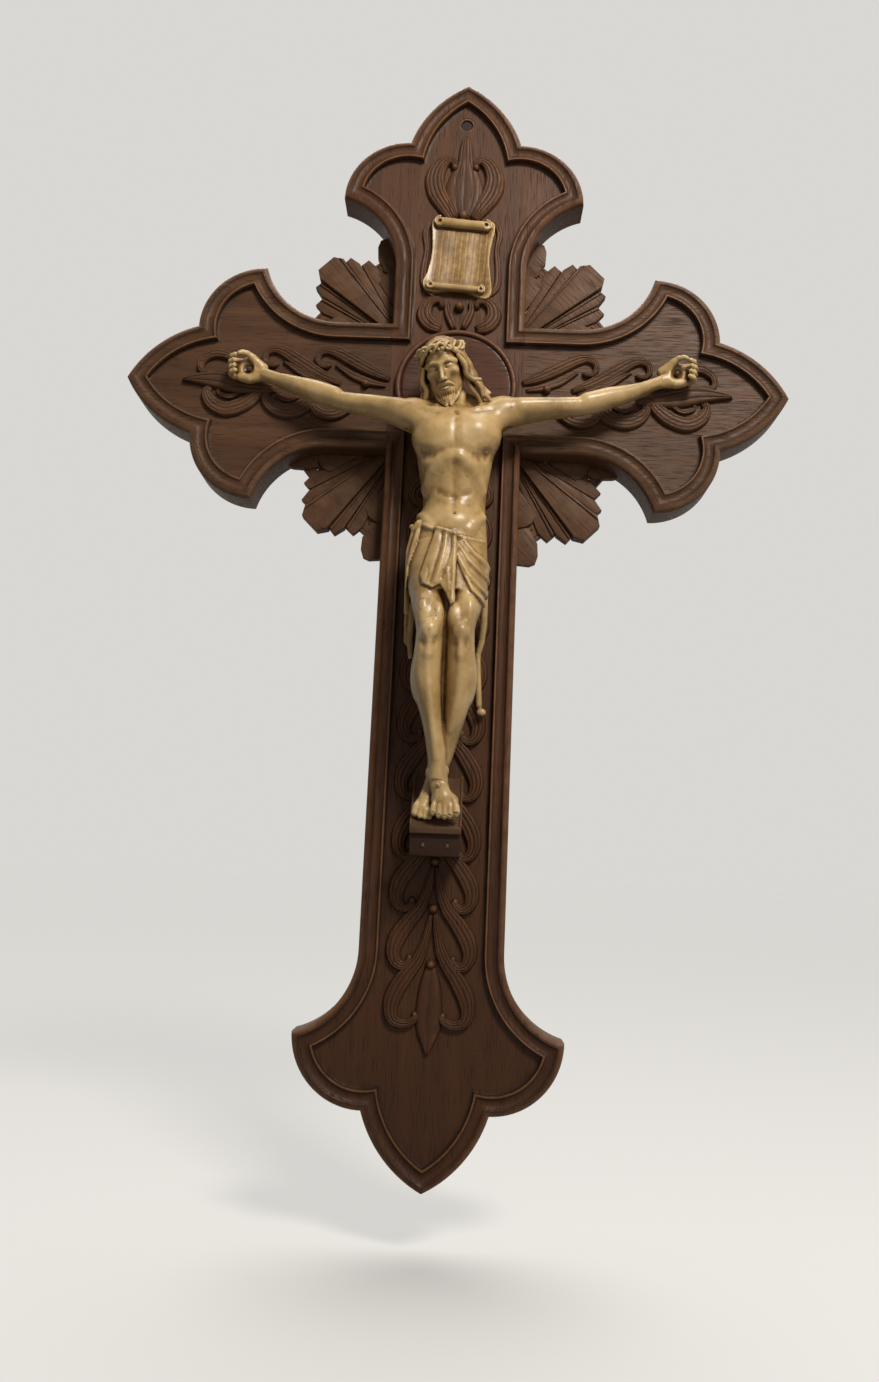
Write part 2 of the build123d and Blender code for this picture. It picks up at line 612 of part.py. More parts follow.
with BuildPart() as top_leaves:
    with BuildSketch(FIELD):
        leaf_pair(TOP_START, TOP_LEAF_RISE, LEAF_HALF, 90)
        stem(TOP_START, TOP_START + TOP_LEAF_RISE, TOP_START + TOP_BUD_RISE, TOP_BUD_HALF, 90)
    extrude(amount=LEAF_RISE)
finish(top_leaves, "top_leaf_onlay")

neck_tip = LEAF_START + NECK_LEAF_RISE
with BuildPart() as neck_leaves:
    with BuildSketch(FIELD):
        leaf_pair(LEAF_START, NECK_LEAF_RISE, LEAF_HALF, 90)
        stem(LEAF_START, neck_tip - STEM_HALF, neck_tip, STEM_HALF, 90)
    extrude(amount=LEAF_RISE)
    bar(FIELD, [(0, neck_tip - 2 * STEM_HALF)], BEAD_RADIUS, 0, LEAF_RISE + BEAD_RISE)
finish(neck_leaves, "neck_leaf_onlay")

# Foot block: a wedge nailed over the shaft onlay, with a sloping top for the feet
block_side = Plane(FIELD.from_local_coords((-BLOCK_WIDTH / 2, 0, 0)), x_dir=(0, -1, 0), z_dir=(1, 0, 0))
with BuildPart() as foot_block:
    with BuildSketch(block_side):
        with BuildLine():
            Polyline(
                (LEAF_RISE, -BLOCK_TOP),
                (BLOCK_DEPTH, BLOCK_FALL - BLOCK_TOP),
                (BLOCK_DEPTH, -block_bottom),
                (LEAF_RISE, -block_bottom),
                close=True,
            )
        make_face()
    extrude(amount=BLOCK_WIDTH)
    bar(FIELD, block_nails, nail_hole, LEAF_RISE, BLOCK_DEPTH, mode=Mode.SUBTRACT)
    bar(FIELD, [FOOT_NAIL], nail_hole, LEAF_RISE, BLOCK_DEPTH, mode=Mode.SUBTRACT)
finish(foot_block, "foot_block")


def nail(places, front, tip):
    """Round nails with flat heads, driven straight back."""
    bar(FIELD, places, NAIL_RADIUS, tip, front)
    bar(FIELD, places, NAIL_HEAD_RADIUS, front, front + NAIL_HEAD)


with BuildPart() as foot_block_nails:
    nail(block_nails, BLOCK_DEPTH, -NAIL_GRIP)
finish(foot_block_nails, "foot_block_nails")

with BuildPart() as hand_nails:
    nail(palms, FIGURE_BACK + PALM_FRONT, -NAIL_GRIP)
finish(hand_nails, "hand_nails")

with BuildPart() as foot_nail:
    nail([FOOT_NAIL], FIGURE_BACK + FOOT_NAIL_FRONT, LEAF_RISE + NAIL_FIT)
finish(foot_nail, "foot_nail")


def oval(plane, across, up, half_across, half_up):
    """An oval section, drawn through its four ends and the points between them."""
    turns = [radians(45 * step) for step in range(8)]
    points = [(across + half_across * cos(turn), up + half_up * sin(turn)) for turn in turns]
    with BuildSketch(plane) as section:
        with BuildLine():
            Spline(*points, periodic=True)
        make_face()
    return section.sketch


def upright_form(sections):
    """A form built of level sections, such as the trunk or a leg."""
    ovals = []
    for height, across, depth, half_width, half_depth in sections:
        level = Plane(FIGURE.from_local_coords((0, height, 0)), x_dir=(1, 0, 0), z_dir=(0, 0, 1))
        ovals.append(oval(level, across, -depth, half_width, half_depth))
    loft(ovals)


def limb(sections):
    """A form built of sections square to its own run, such as an arm or a lock of hair."""
    middles = [FIGURE.from_local_coords(section[:3]) for section in sections]
    ovals = []
    for place, section in enumerate(sections):
        before = middles[max(place - 1, 0)]
        after = middles[min(place + 1, len(middles) - 1)]
        run = (after - before).normalized()
        square = Plane(middles[place], x_dir=FIGURE.z_dir, z_dir=run)
        ovals.append(oval(square, 0, 0, section[4], section[3]))
    loft(ovals)


def shoulder_block(left, right):
    """A block from one side place to another, above the floor of the shoulder cuts."""
    tall = HEAD_Z - SHOULDER_FLOOR
    with BuildSketch(FIELD) as section:
        with Locations(((left + right) / 2, SHOULDER_FLOOR + tall / 2)):
            Rectangle(right - left, tall)
    return section.sketch


# Axis of the head: it leans to the left and nods forward
head_axis = Vector(0, 0, 1).rotate(Axis.X, -HEAD_NOD).rotate(Axis.Y, HEAD_LEAN)
head_middle = FIGURE.from_local_coords((HEAD_X, HEAD_Z, HEAD_DEPTH))
head_plane = Plane(head_middle, x_dir=Vector(1, 0, 0).rotate(Axis.Y, HEAD_LEAN), z_dir=head_axis)


def crown_ring(fit, mode=Mode.ADD):
    """The ring of the crown, square to the axis of the head."""
    middle = head_plane.offset(CROWN_HEIGHT).origin
    with BuildSketch(Plane(middle, x_dir=head_plane.x_dir, z_dir=-head_plane.y_dir)) as section:
        with Locations((CROWN_RADIUS, 0)):
            Circle(CROWN_WIRE + fit)
    revolve(section.sketch, axis=Axis(head_middle, head_axis), mode=mode)


def shoulder_dowels(fit=0.0, mode=Mode.ADD):
    """A dowel across each shoulder cut."""
    for cut in (SHOULDER_LEFT, SHOULDER_RIGHT):
        start = FIGURE.from_local_coords(
            (cut - SHOULDER_DOWEL_LENGTH / 2 - fit, SHOULDER_DOWEL_Z, SHOULDER_DOWEL_DEPTH)
        )
        with BuildSketch(Plane(start, z_dir=(1, 0, 0))) as section:
            Circle(SHOULDER_DOWEL_RADIUS + fit)
        extrude(section.sketch, amount=SHOULDER_DOWEL_LENGTH + 2 * fit, mode=mode)


# Feet: laid one over the other on the sloping top of the block, seen from the side as a wedge
slope = Vector(BLOCK_DEPTH - LEAF_RISE, BLOCK_FALL).normalized()
off_slope = Vector(slope.Y, -slope.X)
heel = Vector(LEAF_RISE, -BLOCK_TOP) + slope * FOOT_HEEL + off_slope * FIGURE_STANDOFF
toe_length = hypot(BLOCK_DEPTH - LEAF_RISE, BLOCK_FALL) + FOOT_OVERHANG - FOOT_HEEL
toe = heel + slope * toe_length
foot_side = Plane(FIELD.from_local_coords((-FOOT_WIDTH / 2, 0, 0)), x_dir=(0, -1, 0), z_dir=(1, 0, 0))

# Figure: trunk, legs, feet, neck, head and hair in one carving, with a cloth round the hips
with BuildPart() as corpus:
    upright_form(TORSO)
    upright_form(LEFT_LEG)
    upright_form(RIGHT_LEG)
    upright_form(NECK)
    loft([oval(head_plane.offset(section[0]), 0, -section[3], *section[1:3]) for section in HEAD])
    limb(LEFT_LOCK)
    limb(RIGHT_LOCK)
    with BuildSketch(foot_side):
        with BuildLine():
            Polyline(
                heel,
                toe,
                toe + off_slope * FOOT_TOE,
                heel + slope * toe_length / 2 + off_slope * FOOT_HEIGHT,
                heel + off_slope * FOOT_HEIGHT,
                close=True,
            )
        make_face()
    extrude(amount=FOOT_WIDTH)
    extrude(shoulder_block(LEFT_PALM[0], SHOULDER_LEFT), amount=FRONT_CLEAR, mode=Mode.SUBTRACT)
    extrude(shoulder_block(SHOULDER_RIGHT, RIGHT_PALM[0]), amount=FRONT_CLEAR, mode=Mode.SUBTRACT)
    shoulder_dowels(DOWEL_FIT, mode=Mode.SUBTRACT)
    crown_ring(CROWN_FIT, mode=Mode.SUBTRACT)
    bar(FIGURE, [FOOT_NAIL], nail_hole, LEAF_RISE - FIGURE_BACK, FOOT_NAIL_FRONT, mode=Mode.SUBTRACT)
    bar(FIGURE, [FOOT_NAIL], nail_seat, FOOT_NAIL_FRONT, FRONT_CLEAR, mode=Mode.SUBTRACT)
    screw_shape(corpus_screw, corpus_screw_length, NAIL_FIT, mode=Mode.SUBTRACT)
finish(corpus, "corpus_body")

for side, sections, palm, cut in (
    ("left", LEFT_ARM, LEFT_PALM, (SHOULDER_LEFT - SHOULDER_GAP, HEAD_X)),
    ("right", RIGHT_ARM, RIGHT_PALM, (HEAD_X, SHOULDER_RIGHT + SHOULDER_GAP)),
):
    with BuildPart() as arm:
        limb([(share * palm[0], *rest) for share, *rest in sections])
        extrude(shoulder_block(*cut), amount=FRONT_CLEAR, mode=Mode.SUBTRACT)
        shoulder_dowels(DOWEL_FIT, mode=Mode.SUBTRACT)
        bar(FIGURE, [palm], nail_hole, -FIGURE_BACK, PALM_FRONT, mode=Mode.SUBTRACT)
        bar(FIGURE, [palm], nail_seat, PALM_FRONT, FRONT_CLEAR, mode=Mode.SUBTRACT)
    finish(arm, f"corpus_{side}_arm")

with BuildPart() as arm_dowels:
    shoulder_dowels()
finish(arm_dowels, "shoulder_dowels")

with BuildPart() as crown:
    crown_ring(0.0)
finish(crown, "crown_of_thorns")

# Screw that holds the figure, driven from the back through the upright and the shaft onlay
with BuildPart() as figure_screw:
    screw_shape(corpus_screw, corpus_screw_length)
finish(figure_screw, "corpus_screw")
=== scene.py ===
import math

import bmesh
import bpy
import numpy as np
import openvdb
from mathutils import Matrix, Vector


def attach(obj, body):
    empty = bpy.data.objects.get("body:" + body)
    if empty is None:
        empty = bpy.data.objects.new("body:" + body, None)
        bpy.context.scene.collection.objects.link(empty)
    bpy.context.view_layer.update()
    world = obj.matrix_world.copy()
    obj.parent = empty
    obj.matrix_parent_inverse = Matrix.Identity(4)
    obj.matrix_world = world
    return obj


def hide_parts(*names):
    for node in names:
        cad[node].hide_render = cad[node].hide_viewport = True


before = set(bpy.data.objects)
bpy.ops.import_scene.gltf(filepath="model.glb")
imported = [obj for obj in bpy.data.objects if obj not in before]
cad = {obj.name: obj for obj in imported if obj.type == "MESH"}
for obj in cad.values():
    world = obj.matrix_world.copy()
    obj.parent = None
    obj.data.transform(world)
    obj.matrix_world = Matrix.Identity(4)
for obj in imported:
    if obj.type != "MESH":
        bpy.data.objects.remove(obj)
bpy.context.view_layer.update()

# Upright and crossbar: two boards of dark stained walnut, halved together where they cross. The ends are sawn to
# trefoils, a border is moulded round the edge and the field inside it is sunk with a router and scraped flat.
# All meshes are drawn in millimetres from the middle of the crossing and then set in the frame.
TOP, ARM, FOOT = 185.0, 181.0, 415.0  # reach of each arm from the crossing
HALF, FIELD = 36.5, 16.5  # half a beam's width, and the height of the field above the back
LOBE, NOTCH, POINT, NECK, BULGE = 36.0, 31.5, 37.0, 41.0, 5.0  # trefoil: side lobe, notch, tip, neck, bow of the tip
HOLE_UP = 161.0  # the hanging hole above the crossing
BEHIND, BEFORE = -1.0, 30.0  # heights between which a cutter goes right through
PLAIN = 0.48  # patina of a plain face


def colour(code):
    """An sRGB hex colour as linear red, green, blue and alpha."""
    parts = [int(code[i:i + 2], 16) / 255 for i in (1, 3, 5)]
    return (*[p / 12.92 if p < 0.04045 else ((p + 0.055) / 1.055) ** 2.4 for p in parts], 1.0)


def add(tree, kind, sockets=None, stops=(), **settings):
    """Adds one node: sockets are values or the outputs that feed it, stops are a ramp's (place, hex colour) pairs
    and settings are its own properties."""
    made = tree.nodes.new("ShaderNode" + kind)
    for name, value in settings.items():
        setattr(made, name, value)
    for name, value in (sockets or {}).items():
        if isinstance(value, bpy.types.NodeSocket):
            tree.links.new(value, made.inputs[name])
        else:
            made.inputs[name].default_value = value
    if stops:
        elements = made.color_ramp.elements
        while len(elements) < len(stops):
            elements.new(0.5)
        for element, (place, code) in zip(elements, stops):
            element.position, element.color = place, colour(code)
    return made


def new_material(name):
    """An empty material with its shader, as (material, tree, shader)."""
    made = bpy.data.materials.new(name)
    made.use_nodes = True
    return made, made.node_tree, made.node_tree.nodes["Principled BSDF"]


def walnut(name, turn, early, late, worn, gloss):
    """Stained walnut under wax. Long dark pores about 0.7 mm wide and a slow figure about 9 mm wide run with the
    grain;
    recesses are darker, with dirt and painted shade, and rubbed edges paler, by the piece's own patina_and_shade
    attribute; the lower end is painted darker and redder, as painted shade of a light that falls off downwards."""
    made, tree, shader = new_material(name)
    shader.inputs["IOR"].default_value = 1.5
    shader.inputs["Specular IOR Level"].default_value = 0.16
    place = add(tree, "TexCoord").outputs["Object"]
    turned = add(tree, "Mapping", {"Vector": place, "Rotation": turn}).outputs["Vector"]
    long = add(tree, "Mapping", {"Vector": turned, "Scale": (1, 1, 0.09)}).outputs["Vector"]
    figure = add(tree, "TexNoise", {"Vector": long, "Scale": 1000 / 9, "Detail": 4.0, "Distortion": 0.6})
    streak = add(tree, "Mapping", {"Vector": turned, "Scale": (1, 1, 0.06)}).outputs["Vector"]
    pores = add(tree, "TexNoise", {"Vector": streak, "Scale": 1000 / 0.75, "Detail": 2.0, "Roughness": 0.55})
    black_to_white = [(0.55, "#000000"), (0.68, "#ffffff")]
    pits = add(tree, "ValToRGB", {"Fac": pores.outputs["Fac"]}, black_to_white).outputs["Color"]
    wood = add(tree, "ValToRGB", {"Fac": figure.outputs["Fac"]}, [(0.3, early), (0.7, late)]).outputs["Color"]
    # The lower end is painted darker and redder: painted shade of a light that falls off downwards.
    height = add(tree, "SeparateXYZ", {"Vector": place}).outputs["Z"]
    low = add(tree, "MapRange", {"Value": height, "From Min": -0.58, "From Max": -0.1, "To Min": 0.66, "To Max": 0.0})
    shaded_lower_end = add(tree, "Mix", {"Factor": low.outputs["Result"], "A": wood, "B": colour("#2f190d")}, data_type="RGBA")
    pitting = add(tree, "Math", {0: pits, 1: 0.6}, operation="MULTIPLY").outputs["Value"]
    open_pores = {"Factor": pitting, "A": shaded_lower_end.outputs["Result"], "B": colour("#180d07")}
    pitted = add(tree, "Mix", open_pores, data_type="RGBA")
    patina_and_shade = add(tree, "Attribute", attribute_name="patina_and_shade").outputs["Fac"]
    blotch = add(tree, "TexNoise", {"Vector": place, "Scale": 1000 / 7, "Detail": 5.0})
    uneven = add(tree, "Math", {0: blotch.outputs["Fac"], 1: 0.34, 2: patina_and_shade}, operation="MULTIPLY_ADD")
    level = add(tree, "Math", {0: uneven.outputs["Value"], 1: 0.17}, operation="SUBTRACT").outputs["Value"]
    # Low values darken recesses with dirt and with painted shade; high values pale the rubbed edges.
    dark = add(tree, "MapRange", {"Value": level, "From Min": 0.1, "From Max": 0.46, "To Min": 0.82, "To Max": 0.0})
    soil_and_shade = {"Factor": dark.outputs["Result"], "A": pitted.outputs["Result"], "B": colour("#160c07")}
    grimed_and_shaded = add(tree, "Mix", soil_and_shade, data_type="RGBA")
    rub = add(tree, "MapRange", {"Value": level, "From Min": 0.56, "From Max": 0.95, "To Min": 0.0, "To Max": 0.75})
    pale = {"Factor": rub.outputs["Result"], "A": grimed_and_shaded.outputs["Result"], "B": colour(worn)}
    rubbed = add(tree, "Mix", pale, data_type="RGBA")
    tree.links.new(rubbed.outputs["Result"], shader.inputs["Base Color"])
    duller = {"Value": pores.outputs["Fac"], "From Min": 0.4, "From Max": 0.7, "To Min": gloss,
              "To Max": gloss + 0.22}
    tree.links.new(add(tree, "MapRange", duller).outputs["Result"], shader.inputs["Roughness"])
    scrape = add(tree, "TexNoise", {"Vector": long, "Scale": 1000 / 3.5, "Detail": 3.0})
    waves = add(tree, "Bump", {"Height": scrape.outputs["Fac"], "Strength": 0.35, "Distance": 0.0005})
    sunk = {"Height": pits, "Normal": waves.outputs["Normal"], "Strength": 0.35, "Distance": 0.0003}
    cells = add(tree, "Bump", sunk, invert=True)
    tree.links.new(cells.outputs["Normal"], shader.inputs["Normal"])
    return made


UP_GRAIN, CROSS_GRAIN = (0.0, 0.0, 0.0), (0.0, math.radians(90), 0.0)
upright_wood = walnut("walnut board, stained, grain upright", UP_GRAIN, "#402716", "#55361f", "#8a6142", 0.42)
crossbar_wood = walnut("walnut board, stained, grain across", CROSS_GRAIN, "#432c1b", "#5a3e29", "#86664a", 0.44)


def meeting(first, first_radius, second, second_radius):
    """The outer point where two circles cross."""
    gap = second - first
    along = (first_radius**2 - second_radius**2 + gap.length_squared) / (2 * gap.length)
    away = Vector((-gap.y, gap.x)).normalized() * math.sqrt(first_radius**2 - along**2)
    middle = first + gap.normalized() * along
    return max(middle + away, middle - away, key=lambda spot: spot.x + spot.y)


def swung(centre, start, end, steps):
    """Points along the short arc from start to end, without start."""
    begin, finish = (start - centre), (end - centre)
    sweep = math.remainder(math.atan2(finish.y, finish.x) - math.atan2(begin.y, begin.x), math.tau)
    return [centre + Matrix.Rotation(sweep * (step + 1) / steps, 2) @ begin for step in range(steps)]


def arm_edge(reach, inset):
    """Half of one arm's edge, moved in by inset, from the inner corner to the tip, as (along, across)."""
    notch = reach - POINT
    lobe = notch - LOBE
    neck = lobe - NECK
    flare = NOTCH + LOBE - HALF
    hollow = (NECK**2 + flare**2) / (2 * flare)
    chord = math.hypot(POINT, NOTCH)
    bow = (chord**2 / 4 + BULGE**2) / (2 * BULGE)
    sink = (bow - BULGE) / chord
    neck_centre = Vector((neck, HALF + hollow))
    lobe_centre = Vector((lobe, NOTCH))
    tip_centre = Vector((notch + POINT / 2 - sink * NOTCH, NOTCH / 2 - sink * POINT))
    edge = HALF - inset
    start = Vector((neck, edge))
    horn = meeting(neck_centre, hollow + inset, lobe_centre, LOBE - inset)
    nick = meeting(lobe_centre, LOBE - inset, tip_centre, bow - inset)
    tip = Vector((tip_centre.x + math.sqrt((bow - inset) ** 2 - tip_centre.y**2), 0))
    straight = [Vector((edge, edge)).lerp(start, step / 4) for step in range(5)]
    curves = swung(neck_centre, start, horn, 20) + swung(lobe_centre, horn, nick, 24)
    return straight + curves + swung(tip_centre, nick, tip, 14)


def patina_and_shade_of(bm):
    """The mesh's patina_and_shade: near 0 in recesses, darkened by dirt and by painted shade, about a half where
    plain, near 1 on rubbed edges.
    """
    return bm.verts.layers.float.get("patina_and_shade") or bm.verts.layers.float.new("patina_and_shade")


def cross_ring(bm, inset, height, patina_and_shade):
    """One closed ring of edges round the cross at that inset and height, with its patina."""
    layer = patina_and_shade_of(bm)
    spots = []
    for reach, turn in ((ARM, 0), (TOP, 90), (ARM, 180), (FOOT, 270)):
        half = arm_edge(reach, inset)
        loop = [Vector((spot.x, -spot.y)) for spot in half] + half[-2:0:-1]
        spots += [Matrix.Rotation(math.radians(turn), 2) @ spot for spot in loop]
    verts = [bm.verts.new((spot.x, -height, spot.y)) for spot in spots]
    for vert in verts:
        vert[layer] = patina_and_shade
    return [bm.edges.new((verts[i - 1], verts[i])) for i in range(len(verts))]


def as_object(bm, name):
    """Makes an object of a mesh drawn in millimetres from the crossing."""
    into_frame = Matrix.Translation((0, 0, -HOLE_UP / 1000)) @ Matrix.Scale(0.001, 4)
    bmesh.ops.transform(bm, matrix=into_frame, verts=bm.verts)
    mesh = bpy.data.meshes.new(name)
    bm.to_mesh(mesh)
    bm.free()
    made = bpy.data.objects.new(name, mesh)
    bpy.context.scene.collection.objects.link(made)
    return made


def settle(made, material, slot, *stands_for, sharp=38):
    """Gives a finished piece its material and its place in the part."""
    made.data.materials.clear()
    made.data.materials.append(material)
    made.data.shade_smooth()
    made.data.set_sharp_from_angle(angle=math.radians(sharp))
    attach(made, "root")
    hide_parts(*stands_for)
    return made


def extruded(bm, corners, way):
    """A straight block, drawn out by way from a face through the corners, as (face, moved vertices, moved edges)."""
    face = bmesh.ops.contextual_create(bm, geom=[bm.verts.new(corner) for corner in corners])["faces"][0]
    grown = bmesh.ops.extrude_face_region(bm, geom=[face])["geom"]
    moved = [part for part in grown if isinstance(part, bmesh.types.BMVert)]
    bmesh.ops.translate(bm, vec=way, verts=moved)
    return face, moved, [part for part in grown if isinstance(part, bmesh.types.BMEdge)]


def prism(outline, back, front):
    """A straight-sided cutter over an outline, from one height above the back of the cross to another."""
    bm = bmesh.new()
    layer = patina_and_shade_of(bm)
    extruded(bm, [(x, -back, z) for x, z in outline], (0, back - front, 0))
    for vert in bm.verts:
        vert[layer] = PLAIN
    bmesh.ops.recalc_face_normals(bm, faces=bm.faces)
    return as_object(bm, "cutter")


def drill(radius, wider, depth, middle, across=0.0, up=HOLE_UP):
    """A round cutter square to the cross, on the axis of the hanging hole or where it is placed."""
    bm = bmesh.new()
    layer = patina_and_shade_of(bm)
    place = Matrix.Translation((across, -middle, up)) @ Matrix.Rotation(math.radians(90), 4, "X")
    bmesh.ops.create_cone(bm, cap_ends=True, segments=48, radius1=radius, radius2=wider, depth=depth, matrix=place)
    for vert in bm.verts:
        vert[layer] = 0.62
    return as_object(bm, "cutter")


def cut_away(piece, *cutters):
    """Cuts the cutters out of a piece and removes them."""
    for cutter in cutters:
        step = piece.modifiers.new("cut", "BOOLEAN")
        step.object, step.operation, step.solver = cutter, "DIFFERENCE", "EXACT"
    shape = bpy.data.meshes.new_from_object(piece.evaluated_get(bpy.context.evaluated_depsgraph_get()))
    piece.modifiers.clear()
    piece.data = shape
    for cell in shape.attributes["patina_and_shade"].data:
        if cell.value < 0.01:
            cell.value = PLAIN
    for cutter in cutters:
        bpy.data.objects.remove(cutter)
    return piece


def cross_blank(name):
    """The whole cross as glued up: border with a rounded edge, a quirk, a hollow and an inner bead."""
    # Each point is (inset, height, patina_and_shade). The foot of the inner wall and the edge of the field are
    # painted dark, as painted shade under the border; the quirk is darker, and the rounded edge and the bead are
    # paler where rubbed.
    section = [(0.7, 0.0, 0.45), (0.0, 0.7, 0.5), (0.0, 9.0, 0.45), (0.0, 16.8, 0.55)]
    for turn in np.linspace(0.25, math.pi / 2, 6):
        section.append((3.2 * (1 - math.cos(turn)), 16.8 + 3.2 * math.sin(turn), 0.5 + 0.22 * math.sin(2 * turn)))
    section += [(3.6, 19.75, 0.4), (3.9, 19.35, 0.26)]
    section += [(3.9 + 4.7 * t, 19.35 - 0.85 * math.sin(math.pi * t), 0.46) for t in (0.12, 0.3, 0.5, 0.7, 0.88)]
    section += [(8.6, 19.4, 0.3), (8.85, 19.8, 0.62), (9.25, 20.0, 0.78), (9.7, 19.95, 0.74), (10.05, 19.5, 0.5),
                (10.2, 18.4, 0.34), (10.3, 16.7, 0.16), (10.6, 16.5, 0.18), (12.2, 16.5, 0.5)]
    bm = bmesh.new()
    rings = [cross_ring(bm, *level) for level in section]
    for lower, upper in zip(rings, rings[1:]):
        bmesh.ops.bridge_loops(bm, edges=lower + upper)
    for ring in (rings[0], rings[-1]):
        bmesh.ops.contextual_create(bm, geom=ring)
    bmesh.ops.triangulate(bm, faces=[face for face in bm.faces if len(face.verts) > 4], ngon_method="EAR_CLIP")
    bmesh.ops.recalc_face_normals(bm, faces=bm.faces)
    return as_object(bm, name)


def wedge_over_arm(turn, start):
    """The outline of one arm's share of the cross, from the crossing out between the diagonals."""
    far = FOOT + 10
    spots = ((start, -start), (far, -far), (far, far), (start, start))
    turned = [Matrix.Rotation(math.radians(turn), 2) @ Vector(spot) for spot in spots]
    return [(spot.x, spot.y) for spot in turned]


def square(half_wide, half_tall):
    """The outline of an upright rectangle round the crossing."""
    return (-half_wide, -half_tall), (half_wide, -half_tall), (half_wide, half_tall), (-half_wide, half_tall)


def countersink(across, up):
    """A cutter for the head of a screw that is driven from the back."""
    return drill(3.9, 1.85, 2.05, 0.825, across, up)


upright = cut_away(
    cross_blank("upright_board"),
    prism(wedge_over_arm(0, HALF), BEHIND, BEFORE),
    prism(wedge_over_arm(180, HALF), BEHIND, BEFORE),
    prism(square(HALF, HALF), BEHIND, FIELD / 2),
    drill(3.0, 3.0, 30, 8),  # hanging hole
    drill(2.9, 4.3, 2.4, 16.6),  # its dished mouth
    drill(4.2, 4.9, 0.6, 16.5),  # and the worn rim of that
    countersink(0.0, -92.0),
)
# Inside the hanging hole the wood is painted nearly black, as painted shade, except at the back; round its mouth the
# rim is paler where worn.
for vert, cell in zip(upright.data.vertices, upright.data.attributes["patina_and_shade"].data):
    away = math.hypot(vert.co.x, vert.co.z) * 1000
    if away < 3.4:
        cell.value = 0.45 if vert.co.y > -0.0005 else 0.02
    elif away < 4.5:
        cell.value = 0.8
    elif away < 5.2:
        cell.value = PLAIN
settle(upright, upright_wood, "board_wood", "upright")
JOINT_GAP = 0.1
crossbar = cut_away(
    cross_blank("crossbar_board"),
    prism(wedge_over_arm(90, HALF + JOINT_GAP), BEHIND, BEFORE),
    prism(wedge_over_arm(270, HALF + JOINT_GAP), BEHIND, BEFORE),
    prism(square(HALF + JOINT_GAP, HALF + 2 * JOINT_GAP), FIELD / 2 - JOINT_GAP, BEFORE),
    *[countersink(across, up) for across in (-20.0, 20.0) for up in (-20.0, 20.0)],
)
settle(crossbar, crossbar_wood, "board_wood", "crossbar")

# Screws, pins and dowels that hold the boards, panels, scroll and figure: turned steel and beech. The screws' heads
# are flush with the back and the rest is buried in the wood, so the solids of the part are shown as they are.


def speckled(name, width, detail, stops, metallic, roughness):
    """A plain material with specks of about that width in millimetres, as (material, tree, shader, specks)."""
    made, tree, shader = new_material(name)
    place = add(tree, "TexCoord").outputs["Object"]
    specks = add(tree, "TexNoise", {"Vector": place, "Scale": 1000 / width, "Detail": detail}).outputs["Fac"]
    shade = add(tree, "ValToRGB", {"Fac": specks}, stops)
    tree.links.new(shade.outputs["Color"], shader.inputs["Base Color"])
    shader.inputs["Metallic"].default_value = metallic
    shader.inputs["Roughness"].default_value = roughness
    return made, tree, shader, specks


# Turned steel is bright grey with brown bloom, and bloomed spots shine less; bare beech is pale with fine flecks.
STEEL, BEECH = [(0.4, "#a6a39d"), (0.72, "#6f5f50")], [(0.35, "#a88558"), (0.65, "#c2a47a")]
screw_steel, tree, shader, bloom = speckled("steel screw, dull turned", 2.0, 4.0, STEEL, 1.0, 0.5)
dulled = add(tree, "MapRange", {"Value": bloom, "From Min": 0.3, "From Max": 0.7, "To Min": 0.36, "To Max": 0.6})
tree.links.new(dulled.outputs["Result"], shader.inputs["Roughness"])
dowel_wood = speckled("beech dowel, bare", 1.5, 3.0, BEECH, 0.0, 0.6)[0]
for material, names in (
    (screw_steel, ("lap_joint_screws", "corpus_screw", "title_scroll_pins")),
    (dowel_wood, ("ray_panel_dowels", "shoulder_dowels")),
):
    for name in names:
        cad[name].data.materials.clear()
        cad[name].data.materials.append(material)

# Ray panels: one in each inner corner, sawn from thin walnut with stepped ends and set back against the boards.
# A broad ray runs out on the diagonal with two narrower, lower ones on each side, then a flat plate and a strip.
SLANT_GRAIN = (0.0, math.radians(45), 0.0)
panel_wood = walnut("walnut panel, stained, carved", SLANT_GRAIN, "#3d2717", "#4e3421", "#7a5a40", 0.5)
RAY_ROOT, INNER = 27.3, 36.52


def slab(bm, outline, back, front, ease=0.35, patina_and_shade=0.5, under=0.15):
    """A flat block over an outline with eased front edges, drawn in the right and upper corner of the cross."""
    layer = patina_and_shade_of(bm)
    face, raised, rim = extruded(bm, [(x, -back, z) for x, z in outline], (0, back - front, 0))
    # The back face takes the value under, so the sides grade from it to the front: with the low default this is
    # painted shade at the foot of each ray.
    for vert in face.verts:
        vert[layer] = under
    for vert in raised:
        vert[layer] = patina_and_shade
    eased = bmesh.ops.bevel(bm, geom=rim, offset=ease, offset_type="OFFSET", segments=2, profile=0.5, affect="EDGES",
                            material=-1, clamp_overlap=True)
    for vert in eased["verts"]:
        vert[layer] = 0.66


def ray(bm, ends, top):
    """One ray that leaves the board's edge and ends in a stepped cut through (direction, distance) points."""
    def spot(angle, away):
        return (RAY_ROOT + math.cos(math.radians(angle)) * away, RAY_ROOT + math.sin(math.radians(angle)) * away)
    low, high = ends[0][0], ends[-1][0]
    nearest = [(INNER - RAY_ROOT) / math.sin(math.radians(min(angle, 90 - angle))) for angle in (low, high)]
    outline = [spot(low, nearest[0])] + [spot(*end) for end in ends] + [spot(high, nearest[1])]
    if low < 45 < high:
        outline.append((INNER, INNER))
    slab(bm, outline, 2.0, top, 0.55, 0.48)


